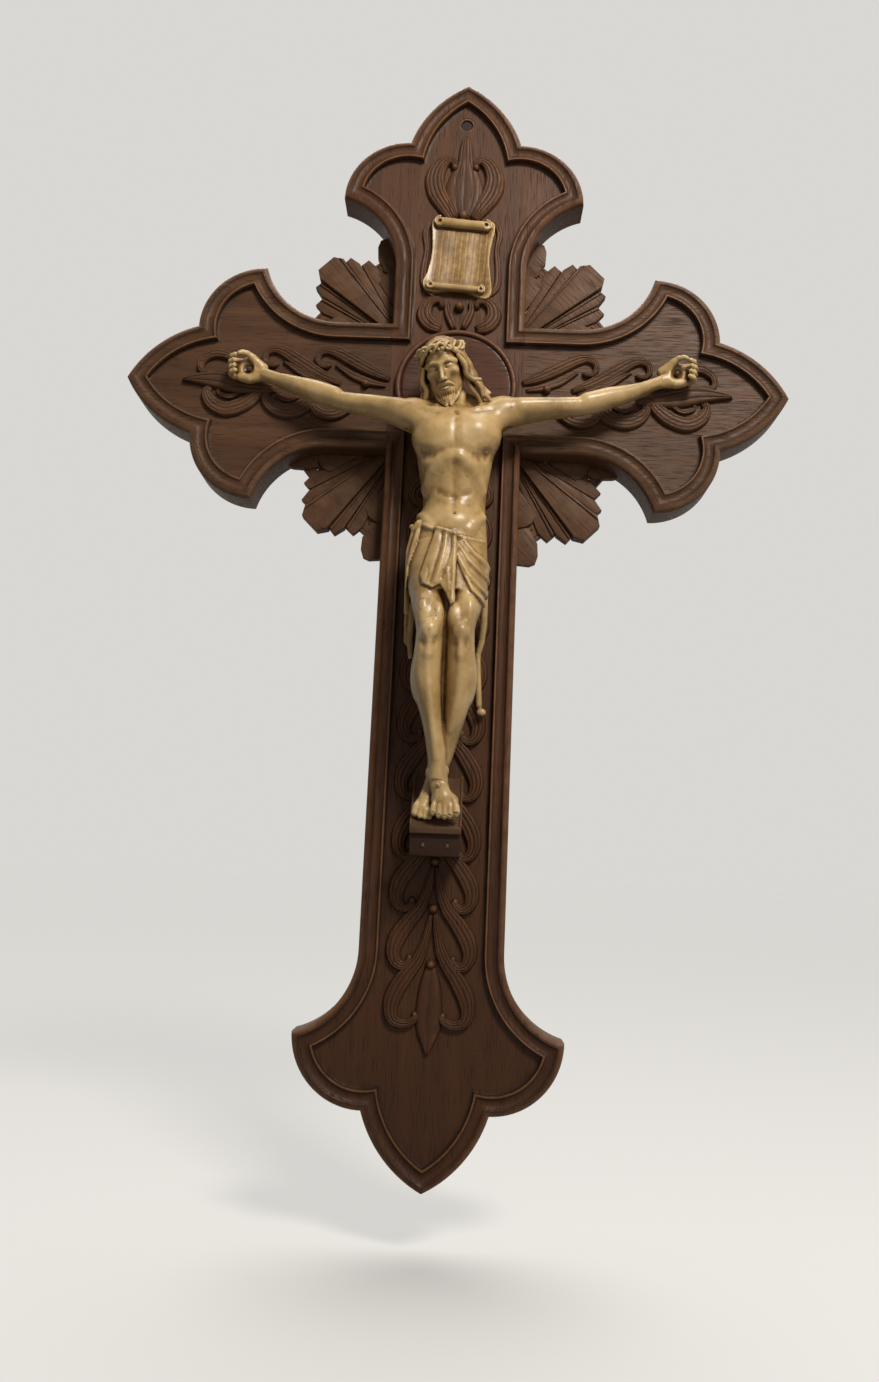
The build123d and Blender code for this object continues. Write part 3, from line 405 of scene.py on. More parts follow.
HALF_PLATE = [(INNER, INNER), (89.0, INNER), (86.0, 40.5), (76.0, 41.6), (74.6, 45.0), (76.0, 49.0), (75.4, 53.5),
              (76.8, 57.5)]
SECTOR = [(52.0, INNER), (67.6, 46.4), (71.6, 44.6), (74.0, 41.0), (74.8, INNER)]
LEVEL_STRIP = [(74.0, INNER), (92.6, INNER), (92.0, 43.4), (88.2, 44.4), (79.0, 44.8), (74.4, 43.4)]
UPRIGHT_STRIP = [(74.0, INNER), (95.0, INNER), (95.6, 43.6), (94.2, 46.8), (90.0, 48.2), (83.0, 47.8), (79.0, 45.4),
                 (74.4, 43.4)]
SIDE_RAYS = (
    ([(22.4, 53.9), (25.3, 60.2), (30.4, 58.8)], 5.9),
    ([(28.8, 58.6), (30.2, 58.4)], 6.8),
    ([(30.8, 59.6), (33.2, 65.6), (36.6, 64.6)], 7.2),
    ([(35.2, 64.4), (36.5, 64.2)], 8.0),
    ([(37.3, 65.6), (38.7, 67.6)], 9.9),
)
BROAD_RAY = [(37.0, 65.6), (40.2, 70.4), (49.8, 70.4), (53.0, 65.6)]


def ray_panel(right, up, name):
    """One panel, drawn in the upper right corner and mirrored to its own."""
    bm = bmesh.new()
    other_half = [(z, x) for x, z in reversed(HALF_PLATE[1:])]
    slab(bm, HALF_PLATE + [(71.5, 71.5)] + other_half, 0.0, 4.6, patina_and_shade=0.22, under=0.42)
    for flip, strip in ((False, LEVEL_STRIP), (True, UPRIGHT_STRIP)):
        for outline, top in ((strip, 5.6), (SECTOR, 6.6)):
            slab(bm, [(z, x) for x, z in outline] if flip else outline, 2.0, top, 0.3)
        for ends, top in SIDE_RAYS:
            ray(bm, [(90 - angle, reach) for angle, reach in reversed(ends)] if flip else ends, top)
    ray(bm, BROAD_RAY, 9.2)
    bmesh.ops.scale(bm, vec=(right, 1, up), verts=bm.verts)
    bmesh.ops.recalc_face_normals(bm, faces=bm.faces)
    return settle(as_object(bm, name), panel_wood, "carved_wood", name.replace("_carved", ""), sharp=25)


for right, up, name in ((-1, 1, "upper_left"), (1, 1, "upper_right"), (-1, -1, "lower_left"), (1, -1, "lower_right")):
    ray_panel(right, up, f"ray_panel_{name}_carved")

# Halo: a disc of walnut turned on a lathe, dished inside a beaded rim and glued over the crossing.
# Its polished dish shows finer, redder wood than the boards.
halo_wood = walnut("walnut disc, turned and stained", CROSS_GRAIN, "#412517", "#51301e", "#845c40", 0.36)
# Each point is (radius, height, patina_and_shade). The dish is painted dark at the foot of the rim, and the disc at
# its foot on the field, as painted shade; the bead is paler where rubbed.
HALO_SECTION = (
    (0.02, 18.5, 0.5), (14.0, 18.6, 0.5), (24.0, 18.9, 0.5), (28.6, 19.25, 0.46), (29.5, 19.2, 0.3),
    (29.9, 19.0, 0.15), (30.2, 19.6, 0.4), (30.7, 20.25, 0.62), (31.4, 20.5, 0.72), (32.2, 20.4, 0.7),
    (32.9, 19.9, 0.55), (33.3, 19.0, 0.4), (33.38, 16.5, 0.15), (0.02, 16.5, 0.3),
)
bm = bmesh.new()
layer = patina_and_shade_of(bm)
profile = []
for radius, height, patina_and_shade in HALO_SECTION:
    vert = bm.verts.new((radius, -height, 0))
    vert[layer] = patina_and_shade
    profile.append(vert)
profile_edges = [bm.edges.new(pair) for pair in zip(profile, profile[1:])]
bmesh.ops.spin(bm, geom=profile + profile_edges, axis=(0, 1, 0), cent=(0, 0, 0), steps=128, angle=math.tau,
               use_merge=True)
bmesh.ops.remove_doubles(bm, verts=bm.verts, dist=0.05)
bmesh.ops.recalc_face_normals(bm, faces=bm.faces)
settle(as_object(bm, "halo_turned_disc"), halo_wood, "carved_wood", "halo_disc")

# Leaf onlays: acanthus leaves carved in walnut with a gouge and glued on the field. Each leaf is a band with long
# flutes that leaves the stem, swings out and curls under at its end; round beads sit where the pairs leave the stem.
leaf_wood = walnut("walnut leaf, stained, gouge carved", UP_GRAIN, "#432917", "#593921", "#8a6243", 0.42)
arm_leaf_wood = walnut("walnut leaf, stained, carved across", CROSS_GRAIN, "#462e1d", "#5d412b", "#88684b", 0.44)


def smooth_run(points, places):
    """Points on a smooth curve through the given ones, at places from 0 to 1 along it."""
    points = np.array(points, float)
    runs = np.concatenate([[0], np.cumsum(np.linalg.norm(np.diff(points[:, :2], axis=0), axis=1))])
    runs /= runs[-1]
    padded = np.vstack([2 * points[0] - points[1], points, 2 * points[-1] - points[-2]])
    spans = np.clip(np.searchsorted(runs, places, side="right") - 1, 0, len(points) - 2)
    share = ((places - runs[spans]) / (runs[spans + 1] - runs[spans]))[:, None]
    before, start, end, after = (padded[spans + step] for step in range(4))
    return 0.5 * (2 * start + (end - before) * share + (2 * before - 5 * start + 4 * end - after) * share**2
                  + (3 * start - before - 3 * end + after) * share**3)


def fluted_leaf(bm, spine, side=1, flutes=4, rise=2.7, steps=44, floor=FIELD, groove=0.14, lip=0.0):
    """One fluted leaf along a spine of (across, up, half width) points; side -1 mirrors it across the stem."""
    layer = patina_and_shade_of(bm)
    across = flutes * 7
    verts = bmesh.ops.create_grid(bm, x_segments=steps, y_segments=across, size=1.0)["verts"]
    spots = np.array([vert.co[:2] for vert in verts])
    places = (spots[:, 0] + 1) / 2
    run = smooth_run(spine, places)
    slope = smooth_run(spine, np.minimum(places + 0.005, 1)) - smooth_run(spine, np.maximum(places - 0.005, 0))
    slope /= np.linalg.norm(slope[:, :2], axis=1)[:, None]
    spread = spots[:, 1]
    swell = np.clip(places / 0.12, 0, 1) ** 0.5 * np.clip((1 - places) / 0.05, 0, 1) ** 0.5
    body = (1 - np.abs(spread) ** 7) * (0.5 + 0.5 * swell)
    ribs = np.abs(np.sin(np.pi * flutes * (spread + 1) / 2)) ** 0.4
    tall = rise * body * (1 - groove + groove * ribs) * (1 + lip * spread)
    tall = np.where((places < 1e-4) | (places > 1 - 1e-4), 0.0, tall)
    # The ribs are paler and the flutes darker, and the edges, where the leaf meets the field, are painted dark as
    # painted shade.
    tone = 0.26 + 0.3 * ribs**1.5 + 0.12 * np.abs(spread) ** 6
    tone = np.where(np.abs(spread) > 0.999, 0.08, tone)
    for vert, spot, way, wide, high, patina_and_shade in zip(verts, run, slope, spread, tall, tone):
        vert.co = (side * (spot[0] - way[1] * wide * spot[2]), -floor - high, spot[1] + way[0] * wide * spot[2])
        vert[layer] = patina_and_shade
    faces = {face for vert in verts for face in vert.link_faces}
    bmesh.ops.recalc_face_normals(bm, faces=list(faces))
    if sum(face.normal.y * face.calc_area() for face in faces) > 0:
        bmesh.ops.reverse_faces(bm, faces=list(faces))


def bead(bm, across, up, radius=2.6, tall=4.2, floor=FIELD):
    """A round bead on the field, painted dark at its foot as painted shade and paler towards its top."""
    layer = patina_and_shade_of(bm)
    outwards = Matrix.Diagonal((radius, tall, radius, 1)) @ Matrix.Rotation(math.radians(90), 4, "X")
    place = Matrix.Translation((across, -floor, up)) @ outwards
    made = bmesh.ops.create_uvsphere(bm, u_segments=28, v_segments=18, radius=1.0, matrix=place)["verts"]
    bmesh.ops.delete(bm, geom=[vert for vert in made if vert.co.y > -floor + 0.3], context="VERTS")
    for vert in made:
        if vert.is_valid:
            vert[layer] = 0.12 + 0.6 * min(1.0, (-vert.co.y - floor) / tall)


bm = bmesh.new()
for start, bottom in (
    (-34, -69.0), (-39, -94.5), (-62, -119.5), (-88, -145.0), (-114, -171.0), (-141, -198.0), (-170, -227.3),
    (-200, -257.6), (-228, -283.3), (-255.9, -311.6), (-279.6, -339.7),
):
    fall = (start - bottom) / 57
    hook = 4.0 if bottom < -330 else 0.0
    run = [(0.9, -2.0, 1.0), (2.1, -9.5, 1.9), (3.9, -17.5, 2.7), (7.0, -24.5, 3.5), (12.4, -31.5, 4.3),
           (17.4, -39.5, 4.7), (19.2, -46.5, 4.0), (17.4, -52.0, 3.1), (13.6 - hook / 2, -53.4, 2.4),
           (11.0 - hook, -51.2, 2.0), (10.8 - hook, -48.6, 1.7)]
    for side in (-1, 1):
        fluted_leaf(bm, [(across, start + down * fall, wide) for across, down, wide in run], side, flutes=4,
                    rise=2.95, lip=0.12, steps=64)
        bead(bm, side * (10.9 - hook), start - 49.2 * fall, 1.8, 2.6)
    if start < -200:
        bead(bm, 0, start)
fluted_leaf(bm, [(0, -306, 2.0), (0, -316, 5.2), (0, -328, 6.8), (0, -338, 6.4), (0, -345, 3.6), (0, -351, 0.25)],
            flutes=2, rise=2.4, groove=0.1)
bead(bm, 0, -306.9, 2.7, 4.4)
settle(as_object(bm, "shaft_leaves"), leaf_wood, "carved_wood", "shaft_leaf_onlay", sharp=60)

for name, side in (("left", -1), ("right", 1)):
    bm = bmesh.new()
    fluted_leaf(bm, [(36, 3.8, 1.4), (43, 6.6, 3.0), (51, 10.6, 3.9), (59, 15.0, 4.0), (66, 18.4, 3.4),
                     (71.6, 19.4, 2.6), (75.6, 17.2, 2.1), (76.4, 13.2, 1.8), (74.2, 10.0, 1.5), (70.8, 9.8, 1.2),
                     (69.4, 11.8, 1.1)], side, flutes=4, lip=0.12, steps=70)
    fluted_leaf(bm, [(38, -0.2, 0.9), (47, 1.6, 2.2), (56, 5.0, 2.4), (63, 9.0, 1.4), (67, 11.2, 0.4)], side,
                flutes=2, rise=2.0, steps=30)
    fluted_leaf(bm, [(63, 0.2, 1.4), (72, 3.8, 3.0), (80, 8.2, 3.9), (88, 13.2, 4.1), (95, 17.6, 3.4),
                     (100.6, 18.9, 2.6), (104.6, 16.8, 2.1), (105.6, 12.8, 1.8), (103.4, 9.6, 1.5), (99.8, 9.4, 1.2),
                     (98.4, 11.4, 1.1)], side, flutes=4, lip=0.12, steps=70)
    fluted_leaf(bm, [(66, -2.2, 0.9), (75, 0.8, 2.2), (84, 5.4, 2.4), (92, 10.2, 1.4), (96, 12.2, 0.4)], side,
                flutes=2, rise=2.0, steps=30)
    fluted_leaf(bm, [(50, -6, 1.4), (56, -12, 2.6), (63, -17, 3.2), (70, -18.2, 3.2), (76, -15.5, 2.8),
                     (78.5, -10.5, 2.0)], side, flutes=3)
    fluted_leaf(bm, [(76.5, -4.5, 2.6), (79.5, -10.5, 4.0), (85.5, -15.0, 4.7), (93, -16.6, 4.7), (100, -14.2, 4.0),
                     (103.8, -9.4, 2.8), (102.4, -5.0, 1.8)], side, flutes=4, lip=-0.1)
    fluted_leaf(bm, [(85.5, -8.0, 0.9), (91, -10.4, 1.5), (96.5, -8.6, 1.3), (98, -5.6, 0.8)], side, flutes=2,
                rise=2.0, steps=20)
    fluted_leaf(bm, [(106, -3.5, 2.4), (110.5, -9.2, 4.0), (117.5, -14.4, 4.6), (125.8, -16.8, 4.6),
                     (133.2, -13.6, 4.0), (136.6, -7.8, 2.8), (134.6, -3.8, 1.6)], side, flutes=4, lip=-0.1)
    fluted_leaf(bm, [(117.5, -6.4, 0.9), (123.5, -9.6, 1.5), (129.4, -8.0, 1.3), (130.4, -5.0, 0.8)], side, flutes=2,
                rise=2.0, steps=20)
    fluted_leaf(bm, [(98, -4.4, 1.8), (108, -3.6, 4.2), (120, -1.4, 6.4), (130, 0.4, 6.0), (141, 0.4, 3.6),
                     (151, -0.8, 0.25)], side, flutes=3, rise=2.9, groove=0.18)
    fluted_leaf(bm, [(118, 8.0, 1.4), (126, 14.2, 2.4), (134, 15.2, 2.8), (140, 11.0, 2.4), (140.4, 5.6, 1.8),
                     (136.4, 3.6, 1.4), (134, 6.0, 1.1)], side, flutes=3)
    bead(bm, side * 49.5, 0.4, 2.4, 4.0)
    settle(as_object(bm, f"{name}_arm_leaves"), arm_leaf_wood, "carved_wood", f"{name}_arm_leaf_onlay", sharp=60)

bm = bmesh.new()
for side in (-1, 1):
    fluted_leaf(bm, [(5.6, 101, 3.0), (10.8, 109, 4.8), (15.6, 117.5, 5.8), (17.0, 126.5, 5.7), (14.2, 134.4, 4.6),
                     (9.6, 137.6, 3.2), (6.4, 136.0, 2.4), (5.6, 133.0, 1.9)], side, flutes=5, lip=0.14, steps=60)
    bead(bm, side * 6.0, 133.2, 2.2, 3.0)
fluted_leaf(bm, [(0, 102, 4.0), (0, 109, 8.0), (0, 119, 10.8), (0, 129, 8.4), (0, 136, 5.0), (0, 143, 4.2),
                 (0, 150, 2.8), (0, 154, 0.4)], flutes=4, rise=1.6, groove=0.16)
bead(bm, 0, 103.6, 3.2, 3.4)
settle(as_object(bm, "top_leaves"), leaf_wood, "carved_wood", "top_leaf_onlay", sharp=60)

bm = bmesh.new()
for side in (-1, 1):
    fluted_leaf(bm, [(9.5, 34.4, 2.6), (15.5, 36.8, 4.2), (19.2, 42.5, 4.6), (17.6, 49.0, 3.6), (13.0, 51.6, 2.5),
                     (9.6, 49.6, 1.8), (10.2, 46.6, 1.5)], side, flutes=4, lip=0.1)
    fluted_leaf(bm, [(2.4, 34.6, 1.6), (4.6, 40, 2.4), (6.8, 46, 1.8), (5.6, 51, 0.9)], side, flutes=2, rise=2.3,
                steps=24)
    fluted_leaf(bm, [(17.5, 100.5, 1.0), (20.8, 93, 1.9), (19.6, 82, 1.6), (20.8, 70, 2.0), (20.0, 60, 2.0),
                     (14.0, 53.6, 1.4)], side, flutes=2, rise=1.5, steps=40)
bead(bm, 0, 47.6, 2.8, 4.3)
settle(as_object(bm, "neck_leaves"), leaf_wood, "carved_wood", "neck_leaf_onlay", sharp=60)

# Title scroll: a cast sheet with wavy sides and rolled ends, painted ivory and varnished. It is pinned a little askew
# on the field over the halo, and its face is plain. The old varnish gives soft highlights, with brown left in the
# hollows, paler rubbed edges and small chips.
ivory_paint, tree, shader = new_material("ivory paint on cast plaster, aged varnish")
place = add(tree, "TexCoord").outputs["Object"]
patches = add(tree, "TexNoise", {"Vector": place, "Scale": 1000 / 16, "Detail": 4.0, "Roughness": 0.55})
tints = [(0.32, "#876a3e"), (0.5, "#a68756"), (0.68, "#b99c6b")]
tint = add(tree, "ValToRGB", {"Fac": patches.outputs["Fac"]}, tints).outputs["Color"]
patina_and_shade = add(tree, "Attribute", attribute_name="patina_and_shade").outputs["Fac"]
mottle = add(tree, "TexNoise", {"Vector": place, "Scale": 1000 / 3.2, "Detail": 5.0, "Roughness": 0.62})
uneven = add(tree, "Math", {0: mottle.outputs["Fac"], 1: 0.3, 2: patina_and_shade}, operation="MULTIPLY_ADD").outputs["Value"]
level = add(tree, "Math", {0: uneven, 1: 0.15}, operation="SUBTRACT").outputs["Value"]
# Low values give brown in the hollows, the paint's real antiquing, and painted shade where the figure comes near the
# wood.
browns = [(0.02, "#2c1e12"), (0.24, "#66503a"), (0.42, "#c4b49b"), (0.54, "#ffffff")]
grime_and_shade = add(tree, "ValToRGB", {"Fac": level}, browns).outputs["Color"]
stained = add(tree, "Mix", {"Factor": 1.0, "A": tint, "B": grime_and_shade}, data_type="RGBA", blend_type="MULTIPLY")
rub = add(tree, "MapRange", {"Value": level, "From Min": 0.6, "From Max": 0.95, "To Min": 0.0, "To Max": 0.55})
pale = {"Factor": rub.outputs["Result"], "A": stained.outputs["Result"], "B": colour("#c3ab7e")}
rubbed = add(tree, "Mix", pale, data_type="RGBA")
chips = add(tree, "TexNoise", {"Vector": place, "Scale": 1000 / 2.4, "Detail": 3.0, "Roughness": 0.7})
zones = add(tree, "TexNoise", {"Vector": place, "Scale": 1000 / 26, "Detail": 2.0})
gathered = add(tree, "Math", {0: zones.outputs["Fac"], 1: 0.35, 2: chips.outputs["Fac"]}, operation="MULTIPLY_ADD")
chipping = {"Value": gathered.outputs["Value"], "From Min": 0.86, "From Max": 0.9, "To Min": 0.0, "To Max": 0.8}
spots = add(tree, "MapRange", chipping).outputs["Result"]
spotted = add(tree, "Mix", {"Factor": spots, "A": rubbed.outputs["Result"], "B": colour("#4a3216")}, data_type="RGBA")
tree.links.new(spotted.outputs["Result"], shader.inputs["Base Color"])
skin = add(tree, "TexNoise", {"Vector": place, "Scale": 1000 / 4.5, "Detail": 3.0})
soft = add(tree, "Bump", {"Height": skin.outputs["Fac"], "Strength": 0.3, "Distance": 0.0006})
pitted = {"Height": spots, "Normal": soft.outputs["Normal"], "Strength": 0.4, "Distance": 0.0002}
chipped = add(tree, "Bump", pitted, invert=True)
tree.links.new(chipped.outputs["Normal"], shader.inputs["Normal"])
shader.inputs["Roughness"].default_value = 0.4
shader.inputs["Specular IOR Level"].default_value = 0.24
shader.inputs["Coat Weight"].default_value = 0.22
shader.inputs["Coat Roughness"].default_value = 0.24


def reach_2d(x, z, line, closed=False):
    """Distance on the plane of the cross to a line of (x, z) points; inside a closed line it is below zero."""
    points = np.array(line, float)
    ends = np.roll(points, -1, axis=0) if closed else points[1:]
    nearest, inside = np.full(np.broadcast(x, z).shape, 99.0), np.zeros(np.broadcast(x, z).shape, bool)
    for start, end in zip(points, ends):
        way = end - start
        share = np.clip(((x - start[0]) * way[0] + (z - start[1]) * way[1]) / max(way @ way, 1e-6), 0, 1)
        nearest = np.minimum(nearest, np.hypot(x - start[0] - way[0] * share, z - start[1] - way[1] * share))
        if closed and start[1] != end[1]:
            inside ^= ((start[1] > z) != (end[1] > z)) & (x < way[0] * (z - start[1]) / way[1] + start[0])
    return np.where(inside, -nearest, nearest) if closed else nearest


def blended(first, second, soft):
    """The nearer of two distances, with a soft seam where they are about equal."""
    share = np.clip(0.5 + 0.5 * (second - first) / soft, 0, 1)
    return second + (first - second) * share - soft * share * (1 - share)


class Clay:
    """Clay in a box of small cells that hold the distance to the skin, below zero inside."""

    def __init__(self, low, high, cell):
        self.cell = cell * 1.0
        self.axes = [np.arange(start, end + self.cell, self.cell, dtype=np.float32) for start, end in zip(low, high)]
        self.skin = np.full([len(axis) for axis in self.axes], 7.0, np.float32)

    def work(self, low, high, shape, soft, cut):
        """Joins or cuts a shape that gives its distance at x, y, z, within the box from low to high."""
        room = 2 * soft + 1.5
        here = tuple(slice(*np.searchsorted(axis, (start - room, end + room)))
                     for axis, start, end in zip(self.axes, low, high))
        old = self.skin[here]
        if old.size:
            cells = [axis[span] for axis, span in zip(self.axes, here)]
            new = shape(*np.meshgrid(*cells, indexing="ij", sparse=True))
            self.skin[here] = -blended(-old, new, soft) if cut else blended(old, new, soft)

    def ball(self, at, radii, soft=1.5, cut=False, lean=0.0):
        """An egg shape; lean turns it in the plane of the cross."""
        cosine, sine = math.cos(math.radians(lean)), math.sin(math.radians(lean))

        def shape(x, y, z):
            across, out, up = x - at[0], y - at[1], z - at[2]
            across, up = across * cosine + up * sine, up * cosine - across * sine
            wide, deep, tall = radii
            near = np.sqrt((across / wide) ** 2 + (out / deep) ** 2 + (up / tall) ** 2) + 1e-4
            steep = np.sqrt((across / wide**2) ** 2 + (out / deep**2) ** 2 + (up / tall**2) ** 2) + 1e-4 / max(radii)
            return near * (near - 1) / steep

        reach = max(radii)
        self.work([c - reach for c in at], [c + reach for c in at], shape, soft, cut)

    def cord(self, points, soft=1.0, cut=False):
        """A round cord through (x, y, z, radius) points."""
        points = np.array(points, float)

        def shape(x, y, z):
            nearest = 7.0
            for start, end in zip(points, points[1:]):
                way = end[:3] - start[:3]
                along = (x - start[0]) * way[0] + (y - start[1]) * way[1] + (z - start[2]) * way[2]
                share = np.clip(along / max(way @ way, 1e-6), 0, 1)
                flat = (x - start[0] - way[0] * share) ** 2 + (y - start[1] - way[1] * share) ** 2
                away = np.sqrt(flat + (z - start[2] - way[2] * share) ** 2)
                nearest = np.minimum(nearest, away - start[3] - (end[3] - start[3]) * share)
            return nearest

        thick = points[:, 3].max()
        self.work(points[:, :3].min(axis=0) - thick, points[:, :3].max(axis=0) + thick, shape, soft, cut)

    def twin(self, points, soft=1.0, cut=False):
        """The same cord on both sides of the middle."""
        self.cord(points, soft, cut)
        self.cord([(-x, *rest) for x, *rest in points], soft, cut)

    def twins(self, at, radii, soft=1.5, cut=False, lean=0.0):
        """The same egg shape on both sides of the middle."""
        self.ball(at, radii, soft, cut, lean)
        self.ball((-at[0], *at[1:]), radii, soft, cut, -lean)

    def plate(self, outline, back, front):
        """A plate over an outline of (x, z) points, from back out to the height that front gives at x, z."""
        low, high = np.min(outline, axis=0), np.max(outline, axis=0)

        def shape(x, y, z):
            return np.maximum(np.maximum(reach_2d(x, z, outline, closed=True), -y - front(x, z)), y + back)

        self.work((low[0], -back - 8, low[1]), (high[0], -back, high[1]), shape, 0.4, False)

    def limb(self, stations, soft, along="z"):
        """An oval limb through stations of (place along, middle, depth from the back, half width, half depth)."""
        table = smooth_run(stations, np.linspace(0, 1, 240))
        table = table[np.argsort(table[:, 0])]

        def shape(x, y, z):
            run, side = (z, x) if along == "z" else (x, z)
            middle, depth, wide, deep = (np.interp(run, table[:, 0], table[:, column]) for column in (1, 2, 3, 4))
            across, out = side - middle, y + FIGURE_BACK + depth
            near = np.sqrt((across / wide) ** 2 + (out / deep) ** 2) + 1e-4
            steep = np.sqrt((across / wide**2) ** 2 + (out / deep**2) ** 2) + 1e-4 / wide
            return np.maximum(near * (near - 1) / steep, np.maximum(run - table[-1, 0], table[0, 0] - run))

        span = (table[:, 1] - table[:, 3]).min(), (table[:, 1] + table[:, 3]).max()
        run = table[0, 0], table[-1, 0]
        (low_x, high_x), (low_z, high_z) = (span, run) if along == "z" else (run, span)
        deepest = -FIGURE_BACK - (table[:, 2] + table[:, 4]).max()
        self.work((low_x, deepest, low_z), (high_x, 0.0, high_z), shape, soft, False)

    def front(self, x, z):
        """How far out the skin lies at x, z, as y."""
        column = self.skin[np.abs(self.axes[0] - x).argmin(), :, np.abs(self.axes[2] - z).argmin()]
        first = max(int(np.argmax(column < 0)), 1)
        outer, inner = column[first - 1], min(column[first], column[first - 1] - 0.01)
        return float(self.axes[1][first - 1] + self.cell * outer / (outer - inner))

    def ridge(self, line, thick, proud, soft=1.5, cut=False):
        """A cord laid along the front skin through (x, z) points, standing proud of it or, as a cut, sunk into it."""
        run = smooth_run(line, np.linspace(0, 1, 14))
        sunk = proud - thick if cut else thick - proud
        self.cord([(x, self.front(x, z) + sunk, z, thick) for x, z in run], soft, cut)

    def softened(self, reach):
        """The distances averaged over about that reach."""
        smooth = self.skin
        count = max(1, round(reach / self.cell))
        for axis in (0, 1, 2, 0, 1, 2):
            padded = np.pad(smooth, [(count + 1, count) if axis == i else (0, 0) for i in range(3)], mode="edge")
            total = np.cumsum(padded, axis=axis, dtype=np.float64)
            width = 2 * count + 1
            ends = np.take(total, range(width, total.shape[axis]), axis=axis)
            starts = np.take(total, range(total.shape[axis] - width), axis=axis)
            smooth = ((ends - starts) / width).astype(np.float32)
        return smooth

    def piece(self, name, stands_for, place=None, plain=0.55, stain_and_shade=None, **trims):
        """Meshes the skin, trimmed to limits such as x_low or z_high, with a patina_and_shade attribute that is dark
        in hollows and where stain_and_shade, given at x, y, z, says so; that gives stains and, near the wood, painted
        shade."""
        hollow = 0.6 * (self.softened(0.8) - self.skin) + 0.22 * (self.softened(2.0) - self.skin)
        shape = self.skin.copy()
        for trim, limit in trims.items():
            number = "xyz".index(trim[0])
            axis = self.axes[number].reshape([-1 if i == number else 1 for i in range(3)])
            shape = np.maximum(shape, limit - axis if trim.endswith("low") else axis - limit)
        grid = openvdb.FloatGrid(background=3.0)
        grid.copyFromArray(np.clip(shape, -3, 3).astype(np.float32))
        spots, triangles, quads = grid.convertToPolygons(isovalue=0.0, adaptivity=0.0)
        index = np.clip(spots, 0, np.array(shape.shape) - 1.001)
        base = index.astype(int)
        share = index - base
        tone = np.zeros(len(spots))
        for corner in np.ndindex(2, 2, 2):
            weight = np.prod(np.where(np.array(corner), share, 1 - share), axis=1)
            tone += weight * hollow[tuple((base + corner).T)]
        mesh = bpy.data.meshes.new(name)
        corners = np.array([axis[0] for axis in self.axes]) + spots * self.cell
        mesh.from_pydata(corners.tolist(), [], quads.tolist() + triangles.tolist())
        bm = bmesh.new()
        bm.from_mesh(mesh)
        bpy.data.meshes.remove(mesh)
        layer = patina_and_shade_of(bm)
        bm.verts.ensure_lookup_table()
        shade = plain + 0.95 * tone - (stain_and_shade(*corners.T) if stain_and_shade else 0)
        for vert, value in zip(bm.verts, np.clip(shade, 0, 1)):
            vert[layer] = value
        bmesh.ops.smooth_vert(bm, verts=bm.verts, factor=0.35, use_axis_x=True, use_axis_y=True, use_axis_z=True)
        if place:
            bmesh.ops.transform(bm, matrix=place, verts=bm.verts)
        bmesh.ops.recalc_face_normals(bm, faces=bm.faces)
        return settle(as_object(bm, name), ivory_paint, "ivory_paint", stands_for, sharp=80)


def sheet_front(x, z):
    """How high the scroll's sheet stands: soft waves across it and edges that turn up."""
    return 18.7 + 0.12 * np.sin(x * 0.5 + 0.4) + 1.1 * np.abs(x / 18) ** 6 + 0.4 * np.abs(z / 22) ** 4


scroll = Clay((-23, -24.5, -28), (22, -16, 27), 0.34)
side_run = [(-16.2, 22.6), (-18.4, 18.4), (-17.3, 9), (-16.7, -1), (-17.8, -11), (-19.4, -17.6), (-18.2, -21.8),
            (-13, -22.6), (-4, -20.8), (6, -21.2), (13, -24.0), (17.2, -24.0), (18.8, -19.6), (17.2, -10), (15.6, 0),
            (15.9, 9), (16.9, 17), (15.6, 22.0), (8, 22.4), (-8, 22.8), (-16.2, 22.6)]
scroll.plate(smooth_run(side_run, np.linspace(0, 1, 120))[:-1], FIELD, sheet_front)
for left_end, right_end, up, thick in ((-13.6, 11.4, 18.8, 2.6), (-14.6, 12.2, -19.8, 1.9)):
    scroll.cord([(left_end, -19.9, up, thick), (right_end, -19.9, up, thick)], 0.3)
    scroll.cord([(left_end + 2, -19.0, up - 3.0, 0.5), (right_end - 2, -19.0, up - 3.0, 0.5)], 0.5, cut=True)
    for end, way in ((left_end, -1), (right_end, 1)):
        spiral = [(end + way * 0.6 + radius * math.sin(turn), -21.2, up + radius * math.cos(turn), 0.62)
                  for turn, radius in zip(np.linspace(0, 8.6, 22) * way, np.linspace(thick + 0.4, 0.9, 22))]
        scroll.ball((end + way * 0.6, -20.0, up), (thick + 0.3, 1.6, thick + 0.3), 0.4)
        scroll.cord(spiral, 0.25)
        scroll.ball((end + way * 0.6, -21.9, up), (thick * 0.42, 1.4, thick * 0.42), 0.3, cut=True)
askew = Matrix.Translation((0, 0, 77.6)) @ Matrix.Rotation(math.radians(4), 4, "Y")


def brush_streaks(x, y, z):
    """Brown wiped down over the sheet with a brush, and left lighter on the rolls."""
    streaks = 0.035 * np.sin(2.3 * x + 0.6 * np.sin(0.3 * z)) + 0.03 * np.sin(4.1 * x + 0.1 * z + 1.0)
    return np.where(np.abs(z) < 16, 0.24 + streaks, 0.15)


scroll.piece("title_scroll_sheet", "title_scroll", askew, stain_and_shade=brush_streaks, y_high=-FIELD)

# Foot block: a wedge of walnut nailed over the shaft leaves, with a sloping board on top whose front edge overhangs.
# The top is painted paler than the wedge under it: painted light where the top faces the lamp above, and painted
# shade on the wedge below the overhang; eased edges are paler where rubbed.
block_wood = walnut("walnut block, stained dark", CROSS_GRAIN, "#1a0e07", "#25150c", "#5c422b", 0.5)


